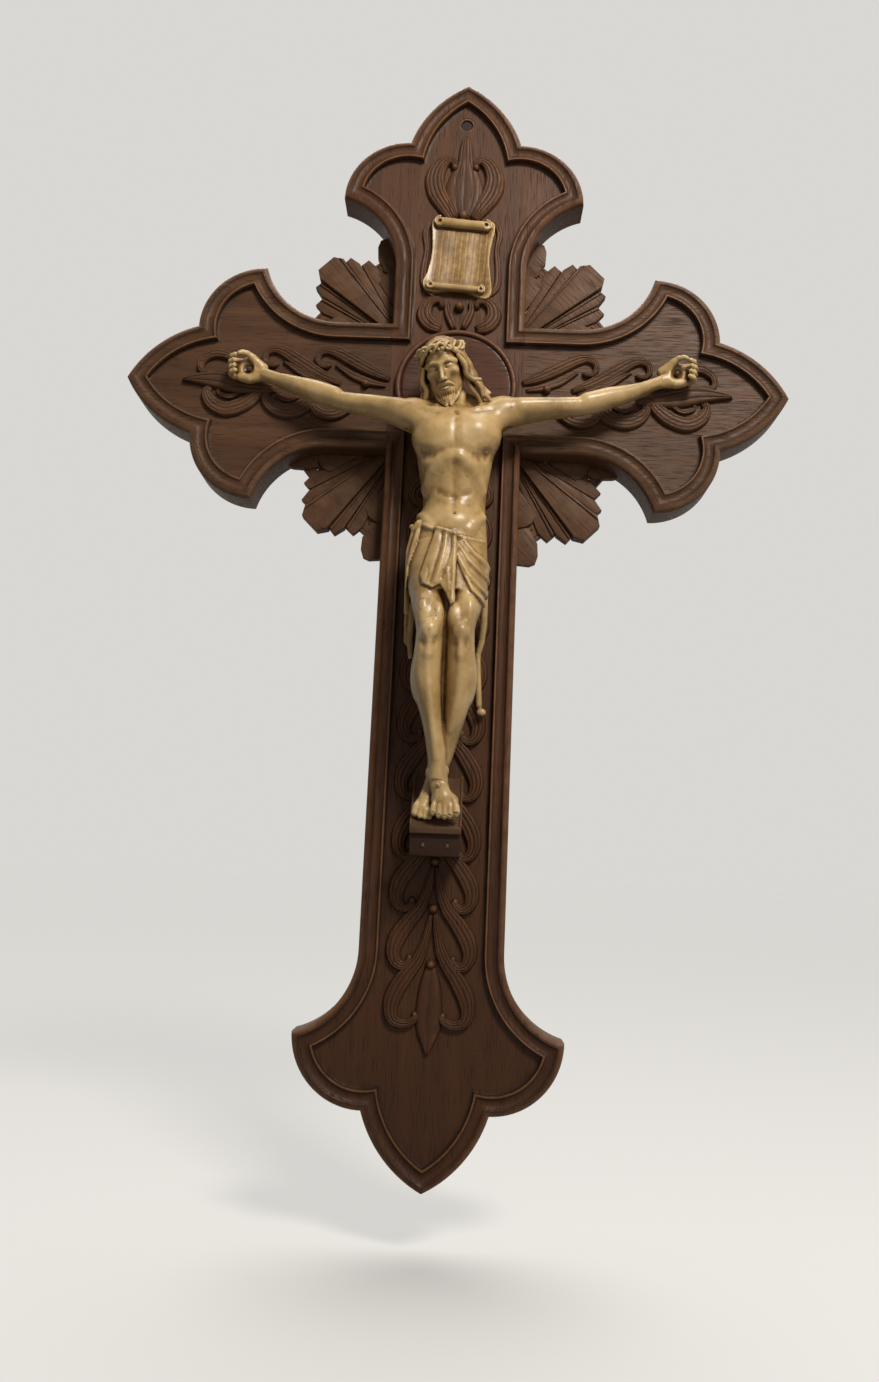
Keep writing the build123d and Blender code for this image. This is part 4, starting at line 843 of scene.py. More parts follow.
def side_block(bm, outline, half, ease, patina_and_shade):
    """A block drawn from the side as (height above the back, up) and as wide as twice half, with eased edges."""
    layer = patina_and_shade_of(bm)
    face, moved, _ = extruded(bm, [(-half, -out, up) for out, up in outline], (2 * half, 0, 0))
    faces = dict.fromkeys([face] + [side for vert in moved for side in vert.link_faces])
    for vert in [*face.verts, *moved]:
        vert[layer] = patina_and_shade
    edges = list(dict.fromkeys(edge for side in faces for edge in side.edges))
    eased = bmesh.ops.bevel(bm, geom=edges, offset=ease, offset_type="OFFSET", segments=3, profile=0.5,
                            affect="EDGES", material=-1)
    for vert in eased["verts"]:
        vert[layer] = patina_and_shade + 0.22


BLOCK_BACK, BLOCK_FRONT = 19.5, 47.2
WEDGE = [(BLOCK_BACK, -216.5), (BLOCK_FRONT, -243.0), (BLOCK_FRONT, -254.1), (BLOCK_BACK, -254.1)]
TOP_BOARD = [(BLOCK_BACK, -213.6), (49.5, -240.4), (49.5, -243.4), (48.6, -243.6), (BLOCK_BACK, -217.6)]
RAIL = [(BLOCK_BACK, -212.6), (48.6, -238.6), (48.6, -240.0), (BLOCK_BACK, -214.4)]
bm = bmesh.new()
# The wedge is painted dark as shade under the overhang, and the top board and its rails paler as painted light.
side_block(bm, WEDGE, 12.2, 0.5, 0.3)
side_block(bm, TOP_BOARD, 12.5, 0.5, 0.62)
for across in (-12.0, 12.0):
    rail = bmesh.new()
    side_block(rail, RAIL, 0.55, 0.2, 0.7)
    bmesh.ops.translate(rail, vec=(across, 0, 0), verts=rail.verts)
    joined = bpy.data.meshes.new("rail")
    rail.to_mesh(joined)
    rail.free()
    bm.from_mesh(joined)
    bpy.data.meshes.remove(joined)
bmesh.ops.recalc_face_normals(bm, faces=bm.faces)
settle(as_object(bm, "foot_block_wedge"), block_wood, "carved_wood", "foot_block")

# Nails of the block: forged iron with heads hammered to four blunt facets, driven through its front into the upright.
# The waxed iron is nearly black with a brown cast, and paler where the hammer struck.
SHANK, NAIL_POINT = 1.15, 8.5
IRON = [(0.35, "#2a1d14"), (0.7, "#5c4632")]
nail_iron, tree, shader, strike = speckled("forged iron nail, waxed", 1.2, 3.0, IRON, 0.6, 0.45)
dents = add(tree, "Bump", {"Height": strike, "Strength": 0.5, "Distance": 0.0003})
tree.links.new(dents.outputs["Normal"], shader.inputs["Normal"])


def forged_nail(bm, across, up, front, back, radius, tall):
    """A nail from its head at front down to back, square to the cross."""
    outwards = Matrix.Rotation(math.radians(90), 4, "X")
    shank = Matrix.Translation((across, -(front + back) / 2, up)) @ outwards
    bmesh.ops.create_cone(bm, cap_ends=True, segments=20, radius1=SHANK, radius2=SHANK, depth=front - back,
                          matrix=shank)
    crown = Matrix.Translation((across, -front - tall / 2, up)) @ outwards @ Matrix.Rotation(math.radians(45), 4, "Z")
    head = bmesh.ops.create_cone(bm, cap_ends=True, segments=4, radius1=radius, radius2=radius * 0.3, depth=tall,
                                 matrix=crown)["verts"]
    edges = list(dict.fromkeys(edge for vert in head for edge in vert.link_edges))
    bmesh.ops.bevel(bm, geom=edges, offset=0.25, offset_type="OFFSET", segments=2, profile=0.5, affect="EDGES",
                    material=-1)


bm = bmesh.new()
for across in (-6.0, 6.0):
    forged_nail(bm, across, -249.0, BLOCK_FRONT, NAIL_POINT, 2.0, 1.1)
bmesh.ops.recalc_face_normals(bm, faces=bm.faces)
settle(as_object(bm, "foot_block_forged_nails"), nail_iron, "nail_iron", "foot_block_nails", sharp=30)

# Figure: trunk, legs, feet, head and hip cloth cast in one piece, painted ivory and varnished, with brown left in the
# hollows. Soft forms are joined on and hollows cut away as in clay.
FIGURE_BACK = 19.8
TRUNK = (
    (-23, 1, 19, 14, 8), (-28, 2.3, 18.5, 21.5, 13), (-36, 2.5, 18.5, 23, 16.4), (-45, 1.7, 18.2, 20.4, 17.4),
    (-55, 1.7, 17.4, 18.8, 16.6), (-66, 1.9, 15.6, 17, 14.6), (-75, 2.2, 15, 16.2, 13.8), (-85, 1, 16, 18.2, 15.2),
    (-98, 0.2, 17.4, 20, 16.6), (-112, 0.2, 19.6, 20.2, 17.4), (-124, 0.8, 22, 18.8, 16.4),
)
LEFT_LEG = (
    (-98, -9.0, 19, 8.6, 12), (-112, -9.5, 21, 9.6, 13.6), (-129, -8.6, 27, 8.6, 12.4), (-140, -7.2, 31, 7.2, 11.4),
    (-147, -6.9, 32.6, 6.7, 10.9), (-157, -7.4, 32.3, 6.9, 10.7), (-168, -7.7, 30.5, 7.0, 10.6),
    (-178, -6.3, 29.5, 6.1, 9.8), (-188, -4.2, 28.5, 5.1, 8.6), (-198, -2.2, 28, 4.7, 7.4),
    (-208, -0.8, 27, 4.5, 6.4), (-217, -0.3, 26.5, 4.6, 6),
)
RIGHT_LEG = (
    (-98, 9.6, 19, 8.6, 12), (-112, 10.5, 21, 9.6, 13.6), (-129, 10.0, 26.5, 8.6, 12.0), (-140, 8.6, 29.8, 7.2, 10.9),
    (-147, 8.5, 31.2, 6.8, 10.5), (-157, 9.0, 30.8, 7.0, 10.3), (-168, 9.4, 29, 7.1, 10.3), (-178, 8.4, 27, 6.3, 9.4),
    (-188, 6.6, 24.5, 5.3, 8.2), (-198, 4.2, 21.5, 4.7, 7), (-207, 1.6, 18.5, 4.6, 6.2), (-214, -1.5, 16.5, 4.8, 6),
)
LEFT_ARM = (
    (-10, -29, 18, 8, 9), (-24, -26.3, 18, 7.6, 8.6), (-40, -21.8, 16, 5.5, 6.6), (-58, -17.6, 13.5, 4.9, 5.8),
    (-72, -12.8, 11.8, 5.1, 5.6), (-88, -6.8, 9, 4.3, 4.6), (-103, 0, 5.6, 3.6, 3.3), (-109, 2, 4.8, 5.2, 3.0),
)
RIGHT_ARM = (
    (14, -27, 18, 8, 9), (28, -23.3, 18, 7.6, 8.6), (45, -19.8, 16, 5.5, 6.6), (64, -16.1, 13.5, 4.9, 5.8),
    (78, -11.8, 11.8, 5.1, 5.6), (93, -5.8, 9, 4.3, 4.6), (108, 2.6, 5.6, 3.6, 3.3), (115, 6, 4.8, 5.2, 3.0),
)


def shoulders(clay):
    """The trunk with the roots of both arms, so that the pieces meet on one surface."""
    clay.limb(TRUNK, 2.0)
    clay.limb(LEFT_ARM, 5.0, "x")
    clay.limb(RIGHT_ARM, 5.0, "x")
    clay.ball((-20.5, -37.5, -24.5), (8.5, 8.5, 7.5), 4.0)
    clay.ball((25.0, -37.5, -22.0), (8.5, 8.5, 7.5), 4.0)
    clay.cord([(-2, -36, -17, 6.2), (-10, -36.5, -21.5, 5.4), (-20, -37, -24, 4.6)], 3.5)
    clay.cord([(3, -36, -17, 6.2), (13, -36.5, -20.5, 5.4), (24, -37, -22, 4.6)], 3.5)
    clay.ball((-9.4, -44.4, -41.5), (11.6, 8.8, 9.8), 4.0)
    clay.ball((12.8, -44.4, -41.0), (11.6, 8.8, 9.8), 4.0)
    clay.cord([(-9, -47, -38, 6.0), (-19, -42.5, -30.5, 4.8), (-27, -38.5, -25.5, 4.2)], 4.0)
    clay.cord([(12, -47, -37, 6.0), (22, -42.5, -29, 4.8), (31, -38.5, -23.5, 4.2)], 4.0)
    clay.cord([(0.4, -48.4, -29.6, 1.5), (-9, -48.5, -27.2, 1.4), (-19, -44.5, -24.5, 1.4)], 2.2)
    clay.cord([(3.4, -48.4, -29.4, 1.5), (12, -48.5, -26.0, 1.4), (23, -44.5, -22.5, 1.4)], 2.2)
    clay.cord([(-24.5, -38, -34.5, 1.2), (-22.5, -42, -39, 1.2)], 2.0, cut=True)
    clay.cord([(29.0, -38, -31.5, 1.2), (26.5, -42, -36.5, 1.2)], 2.0, cut=True)


# Neck, collar, breastbone, ribs, belly and the wound in the side.
body = Clay((-31, -66.3, -222), (34, -19, -5), 0.6)
shoulders(body)
body.cord([(1.2, -38.4, -30, 9.0), (-1.2, -38.6, -20, 8.0), (-2.6, -39.0, -12, 7.6)], 3.0)
body.cord([(-8.2, -43.0, -14, 1.5), (0.2, -47.8, -29.0, 1.6)], 1.8)
body.cord([(4.4, -43.6, -14, 1.5), (2.8, -47.8, -29.0, 1.6)], 1.8)
body.ridge([(1.0, -28.4), (1.8, -30.0)], 1.4, 0.5, 1.4, cut=True)
body.ridge([(1.6, -34), (1.7, -44), (1.7, -53)], 2.0, 0.2, 2.4, cut=True)
body.ridge([(-15.5, -51.5), (-9, -53.2), (-2, -51.0)], 2.6, 0.14, 3.2, cut=True)
body.ridge([(18.6, -51.2), (12.4, -53.2), (5.4, -51.0)], 2.6, 0.14, 3.2, cut=True)
body.ridge([(-0.8, -53.0), (-6.0, -57.0), (-10.2, -62.4), (-12.2, -67.6)], 2.6, 0.4, 3.4)
body.ridge([(4.2, -53.0), (9.4, -57.0), (13.6, -62.4), (15.6, -67.6)], 2.6, 0.4, 3.4)
body.ball((1.6, -42.5, -86.5), (13.5, 9.4, 8.5), 4.0)
body.ridge([(1.9, -58), (2.2, -70), (2.6, -80.0)], 1.6, 0.05, 2.4, cut=True)
body.ridge([(-6.6, -71.0), (2.0, -73.4), (10.6, -71.0)], 1.4, 0.05, 2.0, cut=True)
body.ridge([(-15.2, -81.5), (-11.4, -86), (-8.0, -91)], 1.8, 0.4, 2.4)
body.ridge([(17.2, -81.5), (13.8, -86), (10.6, -91)], 1.8, 0.4, 2.4)
for across, up in ((-14.2, -48.6), (17.4, -48.4)):
    body.ball((across, body.front(across, up) + 0.2, up), (1.0, 0.9, 1.0), 0.5)
body.ball((2.7, body.front(2.7, -82.6) - 0.2, -82.6), (0.9, 1.4, 1.3), 0.9, cut=True)
wound = body.front(-14.4, -58.4)
body.cord([(-15.6, wound + 0.2, -57.7, 0.45), (-13.0, wound - 0.5, -59.0, 0.45)], 0.4, cut=True)


def legs(clay):
    """Both legs from the hips to the ankles, with knees and shins."""
    clay.limb(LEFT_LEG, 2.4)
    clay.limb(RIGHT_LEG, 1.6)
    for side, across, out in ((-1, -6.7, -65.9), (1, 8.4, -64.4)):
        clay.ball((across, out + 3.4, -146.4), (4.2, 3.4, 5.2), 2.4)
        clay.cord([(across, out + 3.2, -152.0, 1.4), (across + side * 0.2, out + 3.6, -157.6, 1.6)], 2.6)
        clay.ball((across - side * 3.8, out + 7.4, -138.0), (2.6, 3.6, 6.4), 3.4)
        clay.ball((across + side * 4.0, out + 7.8, -136.0), (2.6, 3.8, 7.4), 3.4)
        for inner in (-1, 1):
            clay.ball((across + inner * 3.6, out + 1.8, -153.0), (1.4, 1.8, 2.4), 2.2, cut=True)
        clay.ball((across, out + 0.2, -138.0), (2.6, 1.6, 2.2), 2.4, cut=True)
    clay.cord([(-7.4, -61.6, -159, 0.9), (-5.8, -58.2, -178, 0.9), (-2.8, -54.4, -197, 0.8),
               (-1.2, -52.2, -207, 0.8)], 2.2)
    clay.cord([(8.9, -60.0, -160, 0.9), (8.2, -55.6, -177, 0.9), (5.2, -49.4, -193, 0.8)], 2.2)
    clay.cord([(0.6, -44, -112, 5.0), (0.9, -49, -128, 4.4), (0.9, -51, -142, 3.2), (1.0, -48, -156, 2.8),
               (1.4, -45, -172, 2.8), (1.2, -43, -186, 2.4)], 3.0)
    clay.ball((-11.2, -48.5, -167), (3.9, 6.0, 12.0), 3.0)
    clay.ball((13.2, -46.5, -167), (3.9, 6.0, 12.0), 3.0)


legs(body)

# Hip cloth: cast with the figure, knotted on its right hip and held by a twisted cord, with loose ends at both sides.
# It is laid over the softened body, and its folds are ridges and grooves drawn on the plane of the cross.


def drape(clay, under, region, thick, ridges, grooves):
    """Lays a cloth that thick over the clay inside a region, with ridges and grooves of (line, width, height)."""
    low, high = np.min(region, axis=0), np.max(region, axis=0)
    here = tuple(slice(*np.searchsorted(axis, (start - 2, end + 2))) for axis, start, end in
                 zip(clay.axes, (low[0], -66, low[1]), (high[0], -34, high[1])))
    x, z = np.meshgrid(clay.axes[0][here[0]], clay.axes[2][here[2]], indexing="ij")
    height = np.full(x.shape, thick)
    for line, wide, tall in ridges:
        height = height + tall * np.exp(-((reach_2d(x, z, line) / wide) ** 2))
    for line, wide, tall in grooves:
        height = height - tall * np.exp(-((reach_2d(x, z, line) / wide) ** 2))
    edge = reach_2d(x, z, region, closed=True)
    height = np.minimum(height, thick * 0.9 + 6.0 * np.clip(-edge / 6.0, 0, 1))
    cloth = np.maximum(under[here] - height[:, None, :], edge[:, None, :])
    clay.skin[here] = blended(clay.skin[here], cloth, 0.35)


def shade_near_wood(x, y, z):
    """Painted shade that deepens towards the figure's back, where it comes near the wood."""
    return 0.2 * np.clip((y + 32.0) / 9.0, 0, 1)


under = body.softened(3.0)
drape(body, under, [(4.6, -98.5), (8.4, -96.5), (14, -103), (24, -107), (26, -133), (20.5, -131.0), (12.6, -125.0),
                    (9.0, -117.6), (5.0, -109)], 1.1,
      [([(5.4, -100.5), (10.4, -108), (18, -114.5), (25, -117)], 1.1, 0.8),
       ([(5.2, -106), (10.4, -116), (17.5, -122.5), (25, -125.5)], 1.1, 0.9),
       ([(9.6, -118.4), (14.0, -125), (21, -130)], 0.9, 0.7), ([(8.6, -98.4), (14.4, -105), (24, -109.5)], 1.0, 0.7)],
      [([(6.4, -103), (12.5, -112.5), (24, -119.5)], 0.9, 0.35), ([(8, -113.5), (14, -121.5), (23, -128)], 0.8, 0.35),
       ([(12, -104.5), (19, -110.5)], 0.8, 0.3)])
flap = [(-6.2, -91.6), (3.6, -92.6), (5.2, -100), (4.8, -110), (4.6, -124), (5.0, -131.4), (2.8, -132.8),
        (0.2, -126.4), (-2.8, -122.2), (-6.6, -124.4), (-11.8, -121.8), (-13.0, -117.0), (-10.4, -107), (-7.8, -98)]
drape(body, under, flap, 1.9,
      [([(-4.8, -93), (-7.4, -106), (-10.6, -119)], 2.0, 0.5), ([(-0.8, -94), (-2.2, -108), (-5.0, -121)], 1.1, 0.7),
       ([(3.6, -94), (3.6, -110), (3.4, -130)], 1.0, 0.8),
       ([(0.6, -114), (1.2, -119), (1.6, -125)], 0.7, 0.6)],
      [([(-2.8, -95.5), (-2.4, -101), (-4.2, -108), (-7.8, -122)], 0.9, 0.35),
       ([(1.4, -97), (1.9, -103), (0.6, -110), (-1.8, -119)], 0.9, 0.45),
       ([(-9.0, -113), (-8.8, -117.5), (-9.8, -121)], 0.6, 0.4), ([(2.4, -114), (2.6, -121)], 0.6, 0.4)])
drape(body, under, [(-19.5, -89.5), (-14.2, -90.5), (-15.6, -99), (-19.2, -110), (-20.4, -127), (-17.0, -132.5),
                    (-24.5, -134), (-25.5, -108)], 1.0,
      [([(-16.0, -91), (-19.4, -106), (-21.0, -128)], 0.9, 0.8)], [])
belt = smooth_run([(-12.8, -88.6), (-8.8, -91.4), (-5.6, -92.1), (-1.6, -93.3), (4.4, -95.2), (11.2, -96.4),
                   (16.0, -96.0), (18.4, -95.2)], np.linspace(0, 1, 64))
body.cord([(x, body.front(x, z) + 0.15, z, 0.95 + 0.2 * math.sin(step * 1.9)) for step, (x, z) in enumerate(belt)],
          0.35)
knot = body.front(-14.5, -88.8)
body.cord([(-17.8, knot + 1.2, -90.0, 1.5), (-15.2, knot - 0.6, -87.2, 1.7), (-12.2, knot - 0.9, -88.4, 1.6),
           (-13.4, knot - 0.4, -91.0, 1.3)], 0.5)
body.cord([(-19.0, knot + 3.4, -88.0, 1.3), (-16.4, knot + 0.4, -89.6, 1.3), (-14.4, knot - 1.2, -89.2, 1.2)], 0.4)
body.cord([(-17.6, knot + 2.0, -90.5, 1.4), (-20.8, -42, -106, 1.5), (-21.4, -38, -120, 1.8),
           (-20.0, -34, -131, 1.7)], 0.6)
body.cord([(-20.6, -30, -118, 1.6), (-21.2, -26, -134, 1.9), (-20.6, -23.5, -143, 1.7), (-17.4, -22.5, -147, 1.3)],
          0.6)
body.cord([(-17.5, -28, -126, 1.6), (-18.2, -24.5, -142, 1.5), (-17.6, -22.5, -152, 1.2)], 0.6)
body.cord([(20.0, -32, -118, 1.6), (20.0, -27, -134, 1.8), (19.2, -24, -143, 1.7), (17.6, -22.6, -150, 1.4)], 0.6)
body.cord([(17.6, -22.6, -150, 1.4), (18.2, -22.4, -161, 1.5), (19.1, -22.4, -176, 1.6)], 0.6)
body.ball((20.4, -22.8, -179.6), (2.5, 2.1, 2.1), 0.6)
# The trunk and the arms take painted shade towards their back, near the wood.
body.piece("figure_body", "corpus_body", stain_and_shade=shade_near_wood, y_high=-FIGURE_BACK, x_low=-21.2, x_high=26.2,
           z_low=-204.0)

# Feet: cast with the figure and finished with finer tools than the trunk. One foot lies over the other on the sloping
# block, with the toes at its front edge.
feet = Clay((-18, -60, -246), (15, -19, -196), 0.36)
legs(feet)
feet.cord([(-1.0, -36.5, -214, 4.6), (-2.6, -38.6, -220, 4.4), (-5.0, -42.2, -227, 4.2), (-6.6, -44.6, -231, 3.2)],
          2.0)
for across, out, up, thick in ((-10.3, -45.4, -233.6, 1.9), (-7.8, -46.4, -235.0, 1.5), (-5.4, -46.6, -235.4, 1.45),
                               (-3.2, -46.6, -235.4, 1.4)):
    feet.cord([(across * 0.62 - 1.6, -42.2, -227.5, 1.9), (across * 0.9 - 0.4, out + 0.2, up + 3.2, thick),
               (across, out - 0.4, up, thick * 0.95)], 0.6)
feet.cord([(-0.3, -46.4, -214, 4.5), (0.8, -47.4, -219.5, 4.5), (2.9, -48.6, -226, 4.5), (3.9, -49.4, -229, 3.6)],
          2.0)
feet.ball((4.0, -48.6, -227.5), (6.6, 3.8, 4.6), 2.2)
feet.ball((-4.2, -46.4, -213.5), (1.7, 2.2, 2.2), 1.4)
feet.ball((3.6, -45.8, -212.5), (1.7, 2.2, 2.2), 1.4)
for across, up, thick in ((-1.6, -233.8, 1.45), (1.3, -234.9, 1.5), (4.1, -235.2, 1.55), (6.7, -234.8, 1.6),
                          (9.6, -233.4, 2.0)):
    feet.cord([(across * 0.72 + 1.1, -50.4, -226.5, 1.3), (across * 0.96 + 0.2, -52.0, -230.4, thick * 0.92),
               (across, -52.2, up + 1.0, thick), (across, -51.2, up, thick * 0.9)], 0.5)
    feet.cord([(across * 0.3 + 0.6, -51.4, -219.0, 0.4), (across * 0.72 + 1.1, -51.6, -226.5, 0.6)], 0.9)
    feet.ball((across, -53.4, up + 0.1), (thick * 0.55, 0.5, 0.8), 0.3, cut=True)
feet.piece("figure_feet", "corpus_body", y_high=-FIGURE_BACK, z_high=-202.0)

# Arms: cast apart, dowelled on at the shoulders and painted with the figure. The palms face out and are nailed to the
# crossbar, with the fingers curled over the nails.


def hand(clay, side, across, up):
    """An open hand round its palm, on the viewer's left for side -1; the thumb is uppermost."""
    def spot(out_along, out, rise, thick):
        return (across + side * out_along, -FIGURE_BACK - out, up + rise, thick)
    clay.ball(spot(0.4, 4.0, 0.6, 0)[:3], (7.2, 3.2, 7.4), 2.0, lean=side * 20)
    clay.cord([spot(-7.5, 4.6, 1.8, 2.6), spot(-3.6, 6.0, 4.4, 2.6), spot(-1.4, 7.6, 6.4, 2.0)], 1.4)
    clay.cord([spot(-1.6, 7.4, 6.2, 1.9), spot(0.8, 9.4, 7.6, 1.6), spot(3.2, 10.8, 7.6, 1.45),
               spot(4.8, 11.6, 6.8, 1.2)], 0.8)
    clay.cord([spot(-6.0, 4.6, -3.0, 2.4), spot(-0.5, 5.6, -5.0, 2.5), spot(4.6, 5.2, -4.2, 2.0)], 1.4)
    clay.ball(spot(0.8, 8.0, 0.4, 0)[:3], (3.4, 2.8, 3.4), 1.0, cut=True)
    for finger, rise in enumerate((5.6, 2.5, -0.5, -3.4)):
        far = 10.4 - 0.5 * abs(finger - 1.2)
        clay.cord([spot(4.4, 4.0, rise * 0.95, 1.7), spot(far - 1.2, 4.6, rise, 1.6), spot(far, 7.2, rise + 0.1, 1.5),
                   spot(far - 0.8, 9.6, rise + 0.3, 1.4), spot(far - 2.9, 10.8, rise + 0.7, 1.25)], 0.45)
        clay.cord([spot(far - 3.6, 11.5, rise + 0.1, 0.3), spot(far - 3.3, 11.6, rise + 1.3, 0.3)], 0.25, cut=True)


left_arm = Clay((-126, -56, -46), (-14, -19, 18), 0.42)
shoulders(left_arm)
left_arm.cord([(-64, -35.0, -13.4, 3.2), (-76, -31.8, -8.8, 3.4), (-90, -28.0, -4.4, 2.6)], 3.6)
left_arm.cord([(-30, -42.2, -22.4, 3.4), (-44, -39.4, -19.8, 3.2), (-56, -36.0, -17.4, 2.2)], 3.6)
left_arm.cord([(-86, -31.8, -5.4, 0.7), (-104, -27.4, 1.4, 0.7)], 1.4)
left_arm.cord([(-86, -31.2, -8.8, 0.7), (-104, -27.2, -0.8, 0.7)], 1.4)
hand(left_arm, -1, -112.2, 2.6)
left_arm.piece("figure_left_arm", "corpus_left_arm", stain_and_shade=shade_near_wood, y_high=-FIGURE_BACK, x_high=-19.8)
right_arm = Clay((19, -56, -44), (132, -19, 22), 0.42)
shoulders(right_arm)
right_arm.cord([(70, -35.0, -12.2, 3.2), (82, -31.8, -7.4, 3.4), (95, -28.0, -3.2, 2.6)], 3.6)
right_arm.cord([(35, -42.2, -20.0, 3.4), (49, -39.4, -17.8, 3.2), (62, -36.0, -15.6, 2.2)], 3.6)
right_arm.cord([(91, -31.8, -4.2, 0.7), (109, -27.4, 4.2, 0.7)], 1.4)
right_arm.cord([(91, -31.2, -7.4, 0.7), (109, -27.2, 1.8, 0.7)], 1.4)
hand(right_arm, 1, 118.2, 7.8)
right_arm.piece("figure_right_arm", "corpus_right_arm", stain_and_shade=shade_near_wood, y_high=-FIGURE_BACK, x_low=24.8)

# Head: a calm, plain bearded face with closed eyes and long parted hair, cast with the figure. Its proportions are
# the usual ones: eyes half-way down, then brow, nose and chin by thirds. It is made upright, then leaned and nodded.
head = Clay((-21, -20, -32), (26, 17, 20), 0.33)
# Skull, face, chin and jaw, then brow, sockets and closed lids.
head.ball((0, 1.5, 5.0), (10.6, 12.8, 11.0), 1.0)
head.ball((0, -4.2, -3.8), (8.9, 8.2, 12.0), 4.0)
head.ball((0, -7.6, -13.0), (4.4, 4.2, 3.4), 3.0)
head.twin([(8.4, 1.0, -4.5, 2.4), (6.6, -4.0, -10.5, 2.6), (3.0, -8.0, -14.0, 2.4)], 3.0)
head.twin([(8.2, -7.6, 1.6, 1.3), (4.8, -10.9, 2.7, 1.3), (1.2, -11.8, 1.8, 1.2)], 1.6)
head.twins((4.4, -13.5, 0.1), (3.2, 2.6, 2.1), 1.6, cut=True)
head.twins((4.2, -9.2, -0.2), (2.7, 2.3, 1.9), 0.5)
head.twin([(6.7, -9.9, -0.5, 0.22), (4.3, -11.6, -1.2, 0.22), (2.0, -10.8, -0.6, 0.22)], 0.35, cut=True)
head.twin([(6.8, -9.9, 1.0, 0.18), (4.4, -11.2, 1.6, 0.18), (2.0, -10.9, 0.8, 0.18)], 0.35, cut=True)
# Nose, cheeks, lips and moustache.
head.cord([(0, -11.6, 1.6, 1.0), (0, -13.4, -3.0, 1.15), (0, -14.6, -6.0, 1.35)], 1.1)
head.twins((1.6, -12.6, -6.4), (1.2, 1.6, 1.1), 0.6)
head.twins((0.8, -13.4, -7.5), (0.45, 0.7, 0.4), 0.3, cut=True)
head.twins((6.2, -7.9, -3.4), (2.8, 2.8, 2.2), 2.2)
head.twins((5.6, -11.6, -7.0), (1.4, 1.4, 2.2), 3.2, cut=True)
head.cord([(-2.5, -11.6, -9.8, 0.55), (-0.8, -12.5, -9.6, 0.6), (0, -12.4, -9.8, 0.55), (0.8, -12.5, -9.6, 0.6),
           (2.5, -11.6, -9.8, 0.55)], 0.6)
head.cord([(-2.0, -11.4, -11.1, 0.6), (0, -12.4, -11.5, 0.75), (2.0, -11.4, -11.1, 0.6)], 0.6)
head.cord([(-2.9, -11.6, -10.0, 0.2), (0, -13.0, -10.6, 0.22), (2.9, -11.6, -10.0, 0.2)], 0.3, cut=True)
head.twin([(0.5, -12.7, -8.5, 0.8), (2.6, -11.9, -8.8, 1.0), (4.3, -10.5, -10.0, 0.8), (5.2, -9.4, -11.4, 0.5)], 0.4)
# Beard: locks from the cheeks to the chin, with fine grooves.
for lock in range(7):
    share = lock / 6
    across = 9.4 - 8.8 * share
    head.twin([(across, 1.0 - 9.2 * share, -4.0 - 8.6 * share, 1.0),
               (across * 0.86, -1.0 - 8.6 * share, -8.5 - 7.0 * share, 1.5),
               (across * 0.68 + 0.3, -5.4 - 6.6 * share, -13.0 - 4.6 * share, 1.6),
               (across * 0.5 + 1.0, -8.8 - 4.6 * share, -16.6 - 4.2 * share, 0.9)], 0.3)
for across in (-4.6, -3.2, -1.9, -0.7, 0.7, 1.9, 3.2, 4.6):
    head.ridge([(across * 1.15, -13.6), (across * 1.05, -16.4), (across * 0.8, -19.6)], 0.4, 0.28, 0.3, cut=True)
head.cord([(0, -10.6, -13.0, 0.9), (0, -10.2, -15.0, 1.0)], 0.5)
# Hair: a cap combed from the parting, long locks down both sides and a few loose ones.
head.ball((0, 3.4, 5.6), (11.4, 12.4, 11.2), 0.8)
for back in np.linspace(-6.0, 14.0, 14):
    level = math.sqrt(1 - ((back - 3.4) / 12.4) ** 2)
    groove = []
    for turn in np.linspace(0.05, 1.3, 8):
        groove.append((11.5 * level * math.sin(turn), back + 1.4 * turn, 5.6 + 11.3 * level * math.cos(turn), 0.42))
    head.twin(groove, 0.3, cut=True)


def hair_lock(strand, steps, soft):
    """A lock of hair along a smooth curve through (across, up, depth, radius) points."""
    run = smooth_run(strand, np.linspace(0, 1, steps))
    head.cord([(across, deep, up, thick) for across, up, deep, thick in run], soft)


for lock in range(10):
    share = lock / 9
    ahead = 1 - share
    back = -9.4 + 17.5 * share
    crest = 14.8 - 0.3 * abs(back + 1) + (1.2 if 0 < lock < 7 else 0.0)
    run = ((0.4, crest, back + 1.2, 0.8), (5.4, 13.9 - 3.2 * ahead**2, back + 0.3, 1.2),
           (9.6, 9.6 - 3.0 * ahead, back + 1.6 + share, 1.3), (11.6, 3.5, back + 3.4 * ahead + 1.0, 1.4),
           (12.2, -2.5, back + 4.4 * ahead + 0.6, 1.55), (12.4, -8.5, back + 4.6 * ahead, 1.6),
           (13.2, -14.5, back + 4.4 * ahead, 1.5), (14.6, -20.0, back + 3.4 * ahead, 1.0))
    for side, flare in ((-1, 0.8), (1, 5.0)):
        strand = []
        for step, (across, up, deep, thick) in enumerate(run):
            sway = 0.34 * max(0, step - 2) * math.sin(2.2 * step + 1.9 * lock + side)
            spread = flare * (max(0.0, 3.5 - up) / 23.5) ** 1.3
            strand.append((side * (across + spread + sway), up, deep - 0.5 * sway, thick))
        hair_lock(strand, 20, 0.28)
